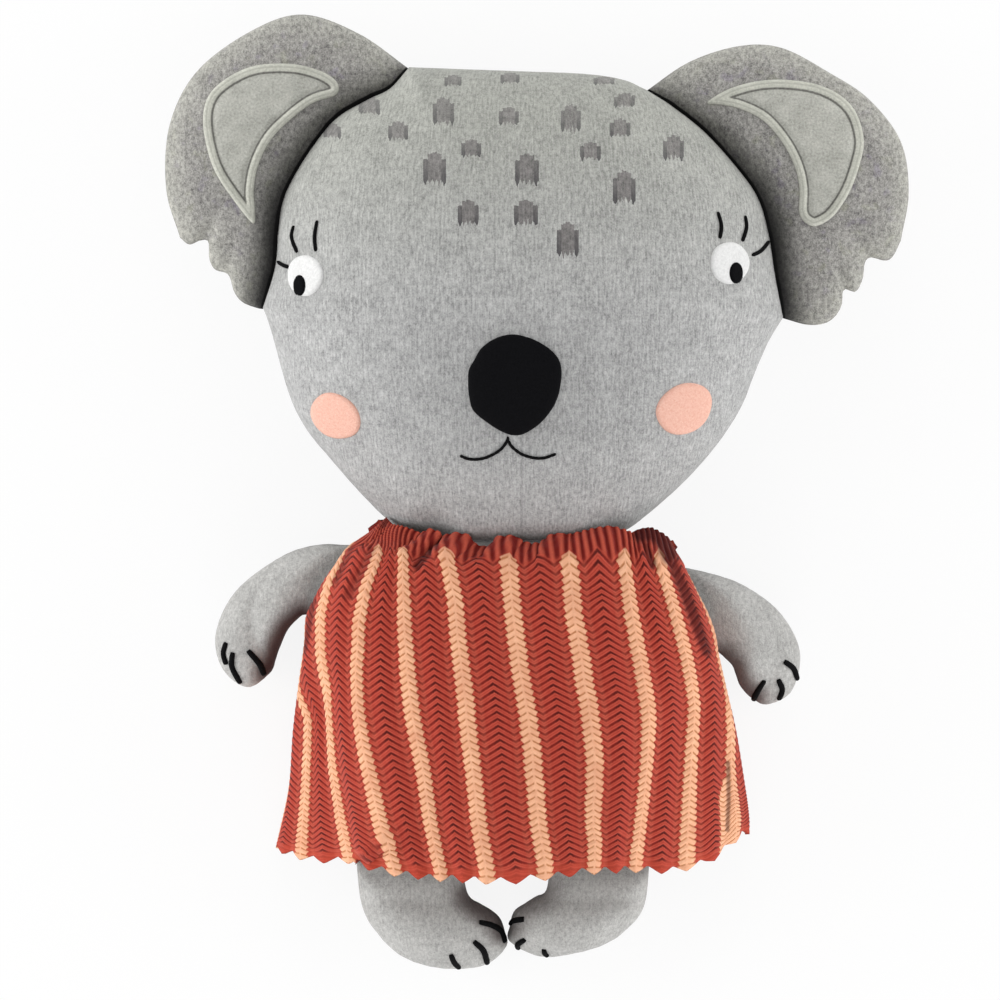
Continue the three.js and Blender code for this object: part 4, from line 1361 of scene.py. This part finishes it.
# Middle lines of the peach stripes, in pixels of the photograph, from the left
STRIPES = {
    1: [(307, 673), (310, 717), (308, 755), (306, 793), (301, 852)],
    2: [
        (341, 559), (328, 582), (321, 615), (321, 653), (328, 691), (330, 730), (333, 768), (343, 819),
        (353, 857),
    ],
    3: [
        (381, 555), (368, 587), (361, 622), (358, 666), (360, 704), (366, 742), (376, 781), (386, 827),
        (399, 867),
    ],
    4: [(402, 547), (403, 584), (405, 628), (409, 679), (414, 719), (424, 768), (430, 819), (441, 872)],
    5: [(445, 557), (455, 602), (458, 640), (465, 691), (468, 730), (474, 781), (478, 819), (486, 867)],
    6: [(508, 560), (513, 615), (519, 666), (528, 717), (534, 768), (538, 819), (546, 867)],
    7: [(569, 560), (574, 615), (582, 666), (588, 717), (593, 768), (592, 819), (593, 865)],
    8: [(624, 560), (631, 615), (640, 666), (647, 717), (645, 755), (640, 806), (634, 857)],
    9: [(657, 558), (673, 610), (686, 658), (694, 704), (690, 755), (687, 806), (684, 865)],
    10: [(724, 679), (731, 730), (730, 768), (736, 819), (735, 834)],
}
DRESS_COLUMNS, DRESS_STEPS = 380, 240

# The dress's length, its room over the body, how deep its hem's zigzag is, and its lowest point
DRESS_LENGTH, DRESS_EASE, HEM_DEPTH, LEAST_HEIGHT = 165, 1.5, 3.4, 0.3

# Painted shade of the deep folds beside the shoulders and the right hem: a line in pixels, its width in mm,
# its strength
PAINTED_FOLD_SHADES = [
    ([(641, 536), (652, 533), (662, 542), (668, 556)], 6.5, 1.0),
    ([(645, 548), (652, 566)], 3.0, 0.8),
    ([(668, 556), (684, 592), (706, 652)], 3.6, 0.85),
    ([(441, 543), (430, 554), (419, 567)], 3.4, 0.9),
    ([(389, 520), (384, 526)], 2.5, 0.8),
    ([(352, 549), (336, 582)], 2.4, 0.6),
    ([(372, 552), (350, 596)], 3.6, 0.45),
    ([(314, 600), (306, 650)], 1.6, 0.7),
    ([(727, 762), (728, 800), (727, 830)], 1.3, 0.75),
]


def eased(at, key, values):
    """Values between rows, turning evenly from one slope to the next without passing them"""
    steps = np.diff(values) / np.diff(key)
    slopes = np.concatenate([[steps[0]], (steps[:-1] + steps[1:]) / 2, [steps[-1]]])
    slopes[1:-1][steps[:-1] * steps[1:] <= 0] = 0
    i = np.clip(np.searchsorted(key, at, side="right") - 1, 0, len(key) - 2)
    width = key[i + 1] - key[i]
    t = (at - key[i]) / width
    reach = 3 * np.abs(values[i + 1] - values[i])
    leave = np.clip(slopes[i] * width, -reach, reach)
    arrive = np.clip(slopes[i + 1] * width, -reach, reach)
    return (
        (2 * t**3 - 3 * t**2 + 1) * values[i]
        + (t**3 - 2 * t**2 + t) * leave
        + (3 * t**2 - 2 * t**3) * values[i + 1]
        + (t**3 - t**2) * arrive
    )


def dress_rows(steps):
    """Ends, middle and heights of the dress's rows, in millimetres, from neckline to hem"""
    run = np.linspace(0, 1, steps)
    key = (DRESS_ROWS[:, 2] - DRESS_ROWS[0, 2]) / (DRESS_ROWS[-1, 2] - DRESS_ROWS[0, 2])
    row = [eased(run, key, DRESS_ROWS[:, i]) for i in range(8)]
    left = pixels(np.column_stack(row[0:2]))
    right = pixels(np.column_stack(row[3:5]))
    middle = pixels(np.column_stack([row[0], row[2]]))[:, 1]
    return run, left, middle, right, row[5:8]


def dress_plan(steps, columns, wall=0.0):
    """Where the dress lies as seen from above, in rows from its neckline to its hem"""
    run, left, middle, right, _ = dress_rows(steps)
    s = np.sin(np.clip(np.linspace(-1, 1, columns) / (1 - wall), -1, 1) * math.pi / 2)
    x = left[:, :1] + (right[:, :1] - left[:, :1]) * (1 + s) / 2
    tilt = ((right[:, 1] - left[:, 1]) / 2)[:, None] * s
    bow = ((left[:, 1] + right[:, 1]) / 2 - middle)[:, None] * s**2
    y = middle[:, None] + tilt + bow
    neckline, hem = pixels(NECKLINE), pixels(HEM_LINE)
    to_neckline = np.interp(x[0], neckline[:, 0], neckline[:, 1]) - y[0]
    to_hem = np.interp(x[-1], hem[:, 0], hem[:, 1]) - y[-1]
    y = y + to_neckline * (1 - smooth(run, 0, 0.13))[:, None] + to_hem * smooth(run, 0.7, 1)[:, None]
    return np.dstack([x, y]), run, s


def draped(plan, s):
    """The dress's front over the body and the chin, from how it lies seen from above"""
    steps = len(plan)
    run, _, _, _, (crest, ends, sides) = dress_rows(steps)
    sides = sides[:, None]
    full = np.sqrt(1 - np.abs(s) ** 3)
    flared = (1 - np.abs(s) ** 2.2) ** 0.8
    spread = smooth(run, 0.25, 0.55)[:, None]
    hung = sides + (crest[:, None] - sides) * (full * (1 - spread) + flared * spread)
    flat = plan.reshape(-1, 2)
    under = np.maximum(body_pad.height(flat), head_pad.height(flat)).reshape(hung.shape)
    height = at_least(hung, np.where(under > 0, under + DRESS_EASE, 0) - 0.5)
    across = np.abs(np.linspace(-1, 1, len(s)))
    down = np.clip((across - 1 + WALL_SHARE) / WALL_SHARE, 0, 1)
    height += (ends[:, None] - height) * down
    return np.dstack([plan, np.maximum(height, 0.4)])


def stripe_numbers(base):
    """The number of the stripe at each place of the dress, with shares between stripes"""
    rows, columns, _ = base.shape
    lines = {number: pixels(points) for number, points in STRIPES.items()}
    numbers = range(1, STRIPE_COUNT + 1)
    past = 8
    found = np.empty((rows, columns))
    for i in range(rows):
        x, y = base[i, :, 0], base[i, :, 1]
        arc = np.concatenate([[0], np.cumsum(np.linalg.norm(np.diff(base[i], axis=0), axis=1))])
        across = {n: np.interp(-y, -line[:, 1], line[:, 0]) for n, line in lines.items()}
        column = {n: np.argmin(np.abs(x - line)) for n, line in across.items()}
        at = {n: arc[k] for n, k in column.items()}
        for outer, inner, way in ((1, 2, -1), (STRIPE_COUNT, STRIPE_COUNT - 1, 1)):
            seen = smooth(lines[outer][0, 1] - y[column[outer]], 0, 24)
            hidden = at[inner] + way * STRIPE_PITCH
            at[outer] = hidden + (at[outer] - hidden) * seen
        arcs = np.maximum.accumulate([at[n] for n in numbers]) + np.arange(STRIPE_COUNT) * 1e-3
        beyond = past * STRIPE_PITCH
        arcs = np.concatenate([[arcs[0] - beyond], arcs, [arcs[-1] + beyond]])
        found[i] = np.interp(arc, arcs, [1 - past, *numbers, STRIPE_COUNT + past])
    kernel = np.array([1, 2, 3, 4, 3, 2, 1]) / 16
    for _ in range(3):
        padded = np.pad(found, ((3, 3), (0, 0)), mode="edge")
        found = sum(weight * padded[k : k + rows] for k, weight in enumerate(kernel))
        padded = np.pad(found, ((0, 0), (3, 3)), mode="reflect", reflect_type="odd")
        found = sum(weight * padded[:, k : k + columns] for k, weight in enumerate(kernel))
    return found


def grid_normals(points):
    normals = np.cross(np.gradient(points, axis=0), np.gradient(points, axis=1))
    return normals / np.maximum(np.linalg.norm(normals, axis=2), 1e-9)[:, :, None]


def turned_under(values, depth):
    """A grid with its four edges folded to the inside: the rim again, and a row further in"""
    rows, columns = values.shape[:2]
    down = [depth, 0, 0, *range(rows), rows - 1, rows - 1, rows - 1 - depth]
    across = [depth, 0, 0, *range(columns), columns - 1, columns - 1, columns - 1 - depth]
    return values[np.array(down)][:, np.array(across)]


def rim_drop(rows, columns, drop):
    """How far below the sheet each point of its folded edges lies"""
    down = np.array([drop, drop, 0, *[0] * rows, 0, drop, drop])[:, None]
    across = np.array([drop, drop, 0, *[0] * columns, 0, drop, drop])[None]
    return np.maximum(down, across)


def chevrons(u):
    """Height of the zigzag across a stripe, from 0 in its valleys to 1 on its peaks"""
    return np.abs((u * 2) % 1 - 0.5) * 2


def knit_relief(u, v, rib, gather, hem):
    """How far the knit stands out, in mm: ribs and zigzags, and cords where it is gathered"""
    ribs = 0.7 * np.abs(np.sin(math.pi * rib)) * (1 - gather) * (1 - 0.6 * hem)
    corrugated = 0.5 * np.cos(2 * math.pi * 2 * u) * (1 - gather)
    fanned = u * STRIPE_PITCH + v * (CORD_UPRIGHT - u) * CORD_FAN
    cords = 1.1 * np.abs(np.cos(math.pi * fanned / CORD_PITCH)) * gather
    sides = np.abs(np.linspace(-1, 1, u.shape[1]))
    return (ribs + corrugated + cords) * (1 - 0.5 * smooth(sides, 0.7, 0.95))


def knitted_sheet(name, base, u, run, shade):
    """A sheet of the zigzag knit over a base surface, with its ribs, its ruffled top and its hem"""
    rows, columns, _ = base.shape
    v = (run * DRESS_LENGTH)[:, None] + np.zeros((1, columns))
    zigzag = chevrons(u)
    rib = v / ROW_PITCH + (zigzag - 0.5) * (CHEVRON / ROW_PITCH)
    gather = 1 - smooth(rib, 2.3, 3.0)
    hem = smooth(run, 1 - 8 / DRESS_LENGTH, 1 - 3 / DRESS_LENGTH)[:, None] + np.zeros((1, columns))
    points = base.copy()
    points[:, :, 1] -= (zigzag - 0.5) * HEM_DEPTH * smooth(run, 0.93, 1)[:, None]
    normals = grid_normals(points)
    points = points + normals * knit_relief(u, v, rib, gather, hem)[:, :, None]
    fold = 5
    places = turned_under(points, fold)
    lowered = rim_drop(rows, columns, KNIT_THICKNESS - KNIT_RELIEF)[:, :, None]
    places = (places - turned_under(normals, fold) * lowered).reshape(-1, 3)
    places[:, 2] = np.maximum(places[:, 2], LEAST_HEIGHT)
    upward = grid_cells(*lowered.shape[:2])[:, [0, 3, 2, 1]]
    obj = mesh_object(name, places, upward.tolist(), dress_knit)
    weave = turned_under(np.dstack([u, v, shade]), fold)
    edge = turned_under(np.dstack([gather, hem, np.zeros_like(u)]), fold)
    give(obj, "place", places)
    give(obj, "weave", weave.reshape(-1, 3))
    give(obj, "edge", edge.reshape(-1, 3))
    return obj


def dress_folds(u, run, base):
    """How far soft folds lift the dress, in mm: more towards the hem, none where it meets the ground"""
    free = smooth(base[:, :, 2], 4, 40)
    grown = (0.3 + 0.7 * run)[:, None]
    waves = 1.4 * np.sin(u * 2.7 + 0.6) + 1.1 * np.sin(u * 1.55 + run[:, None] * 2 + 2.1)
    ruffles = 1.0 * np.sin(u * 5.2 + 1.0) * (1 - smooth(run, 0.02, 0.15))[:, None]
    return (waves * grown + ruffles) * free


def painted_fold_shade(places):
    """How dark the painted shade of the deep folds makes each place, from 0 to 1"""
    dark = np.zeros(len(places))
    for line, width, strength in PAINTED_FOLD_SHADES:
        gap = distance_from(pixels(line))(places)
        dark = np.maximum(dark, strength * (1 - smooth(gap, width * 0.3, width)))
    return dark


def as_seen(points):
    """Moves raised points inwards, so that the camera sees them where they were drawn"""
    share = 1 - (points[:, :, 2:] - SEAM_Z) / CAMERA_DISTANCE
    moved = points.copy()
    moved[:, :, :2] = CAMERA_PLACE[:2] + (points[:, :, :2] - CAMERA_PLACE[:2]) * share
    return moved


def make_dress_front():
    plan, run, s = dress_plan(DRESS_STEPS, DRESS_COLUMNS, wall=WALL_SHARE)
    base = draped(plan, s)
    u = stripe_numbers(base)
    shade = painted_fold_shade(plan.reshape(-1, 2)).reshape(u.shape)
    lift = np.maximum(KNIT_THICKNESS - KNIT_RELIEF + dress_folds(u, run, base), 0.8) - 1.6 * shade
    outwards = grid_normals(base)
    outwards[:, :, :2] *= (1 - smooth(np.abs(s), 0.6, 0.95))[None, :, None]
    lifted = as_seen(base + outwards * lift[:, :, None])
    lifted[:, :, 2] = np.maximum(lifted[:, :, 2], 0.4)
    return knitted_sheet("knit_dress_front", lifted, u, run, shade)


def make_dress_back():
    """The dress's back lies flat on the ground, just inside the front's edges"""
    plan, run, s = dress_plan(DRESS_STEPS // 2, DRESS_COLUMNS // 2)
    u = stripe_numbers(draped(plan, s))
    plan[:, :, 0] += (plan[:, :, 0].mean(axis=1)[:, None] - plan[:, :, 0]) * 0.012
    base = np.dstack([plan, np.full(u.shape, 0.5)])[:, ::-1]
    return knitted_sheet("knit_dress_back", base, u[:, ::-1], run, np.zeros(u.shape))


dress_front = make_dress_front()
dress_back = make_dress_back()


# How the pieces ride


def attach():
    """The body, the dress and the pieces sewn on the pads move with their bodies; the head, ear and limb pads
    stay where they lie
    """
    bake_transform(head)
    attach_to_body(body, "torso")
    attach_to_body(dress_front, "torso")
    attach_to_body(dress_back, "torso")
    for piece in (*patches.values(), *face_stitches.values()):
        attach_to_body(piece, "head")
    for side, parts in ear_parts.items():
        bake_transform(parts["ear"])
        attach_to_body(parts["patch"], f"{side}_ear")
    for name, (limb, stitches) in limbs.items():
        away = np.array([*LIMBS[name]["middle"], 0.0])
        away /= np.linalg.norm(away)
        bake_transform(limb)
        for piece in stitches:
            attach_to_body(piece, name)


def stands_for(piece, slot, *nodes):
    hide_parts(*nodes)


def declare_pad(piece, slot, name):
    stands_for(piece, slot, f"{name}_front", f"{name}_back", f"{name}_stuffing")


def declare():
    """Hides the frame's parts that each piece stands for, and gives the elastic its cover"""
    declare_pad(head, "grey_knit", "head")
    declare_pad(body, "grey_knit", "body")
    for side, parts in ear_parts.items():
        declare_pad(parts["ear"], "dark_grey_knit", f"{side}_ear")
        stands_for(parts["patch"], "pale_grey_knit", f"{side}_ear_patch", f"{side}_ear_topstitch")
    for name, (limb, stitches) in limbs.items():
        declare_pad(limb, "grey_knit", name)
        for i, piece in enumerate(stitches):
            stands_for(piece, "black_thread", f"{name}_claw_{i + 1}")
    for node, piece in face_stitches.items():
        stands_for(piece, "black_thread", node)
    for node, piece in patches.items():
        stands_for(piece, patch_slots[node], node)
    for node, piece in (("dress_front", dress_front), ("dress_back", dress_back)):
        stands_for(piece, "striped_knit", node)
    elastic = frame["nodes"]["neck_elastic"].data
    elastic.materials.clear()
    elastic.materials.append(elastic_cord)


attach()
declare()


# Floor, light and camera, in metres

# The floor's size and height, and the share of plain white in what the camera sees of it
FLOOR_REACH, FLOOR_HEIGHT, FLOOR_WHITE = 12, -0.0003, 0.88

# The soft boxes' width, the place that they face, and the place and power of each
SOFTBOX_WIDTH, LIT_PLACE = 1.5, Vector((0, 0, 0.05))
SOFTBOXES = {
    "left_softbox": ((-2.0, 0.1, 0.55), 32),
    "right_softbox": ((2.0, 0.0, 0.55), 25),
    "crown_softbox": ((0.0, 2.1, 0.7), 14.5),
    "foot_softbox": ((0.1, -2.1, 0.7), 17),
}


def make_stage():
    """A white floor: what the camera sees of it is mostly plain white, with a faint shadow left"""
    reach = FLOOR_REACH
    corners = [(-reach, -reach), (reach, -reach), (reach, reach), (-reach, reach)]
    mesh = bpy.data.meshes.new("floor")
    mesh.from_pydata([(x, y, FLOOR_HEIGHT) for x, y in corners], [], [(0, 1, 2, 3)])
    floor = bpy.data.objects.new("floor", mesh)
    scene.collection.objects.link(floor)
    surface = Surface("floor", roughness=0.9, gloss=0.1)
    surface.shader.inputs["Base Color"].default_value = linear("#f4f4f4")
    tree = surface.tree
    plain = tree.nodes.new("ShaderNodeEmission")
    rays = tree.nodes.new("ShaderNodeLightPath")
    seen = Number(tree, rays.outputs["Is Camera Ray"]) * FLOOR_WHITE
    mix = tree.nodes.new("ShaderNodeMixShader")
    tree.links.new(seen.socket, mix.inputs[0])
    tree.links.new(surface.shader.outputs[0], mix.inputs[1])
    tree.links.new(plain.outputs[0], mix.inputs[2])
    tree.links.new(mix.outputs[0], tree.nodes["Material Output"].inputs[0])
    mesh.materials.append(surface.material)


def make_light(name, place, power):
    """A round soft box that faces the toy's middle"""
    data = bpy.data.lights.new(name, "AREA")
    data.shape = "DISK"
    data.size = SOFTBOX_WIDTH
    data.energy = power
    light = bpy.data.objects.new(name, data)
    light.location = place
    light.rotation_euler = (LIT_PLACE - Vector(place)).to_track_quat("-Z", "Y").to_euler()
    scene.collection.objects.link(light)


def make_world(strength):
    """Even light from all round, which the camera sees as plain white"""
    world_light = bpy.data.worlds.new("studio")
    world_light.use_nodes = True
    tree = world_light.node_tree
    background = tree.nodes["Background"]
    background.inputs["Color"].default_value = (1, 1, 1, 1)
    rays = tree.nodes.new("ShaderNodeLightPath")
    seen = Number(tree, rays.outputs["Is Camera Ray"])
    tree.links.new((seen * (1 - strength) + strength).socket, background.inputs["Strength"])
    scene.world = world_light


def make_camera():
    """Straight above the toy, as far away as a studio photograph is taken from"""
    frame_width = PHOTO_SIZE * PIXEL
    data = bpy.data.cameras.new("camera")
    data.sensor_width = 36
    data.lens = data.sensor_width * CAMERA_DISTANCE / frame_width
    data.clip_end = 100
    camera = bpy.data.objects.new("camera", data)
    camera.location = world([CAMERA_PLACE])[0]
    scene.collection.objects.link(camera)
    scene.camera = camera


make_stage()
make_world(strength=0.6)
for name, (place, power) in SOFTBOXES.items():
    make_light(name, place, power)
make_camera()
scene.view_settings.view_transform = "Standard"
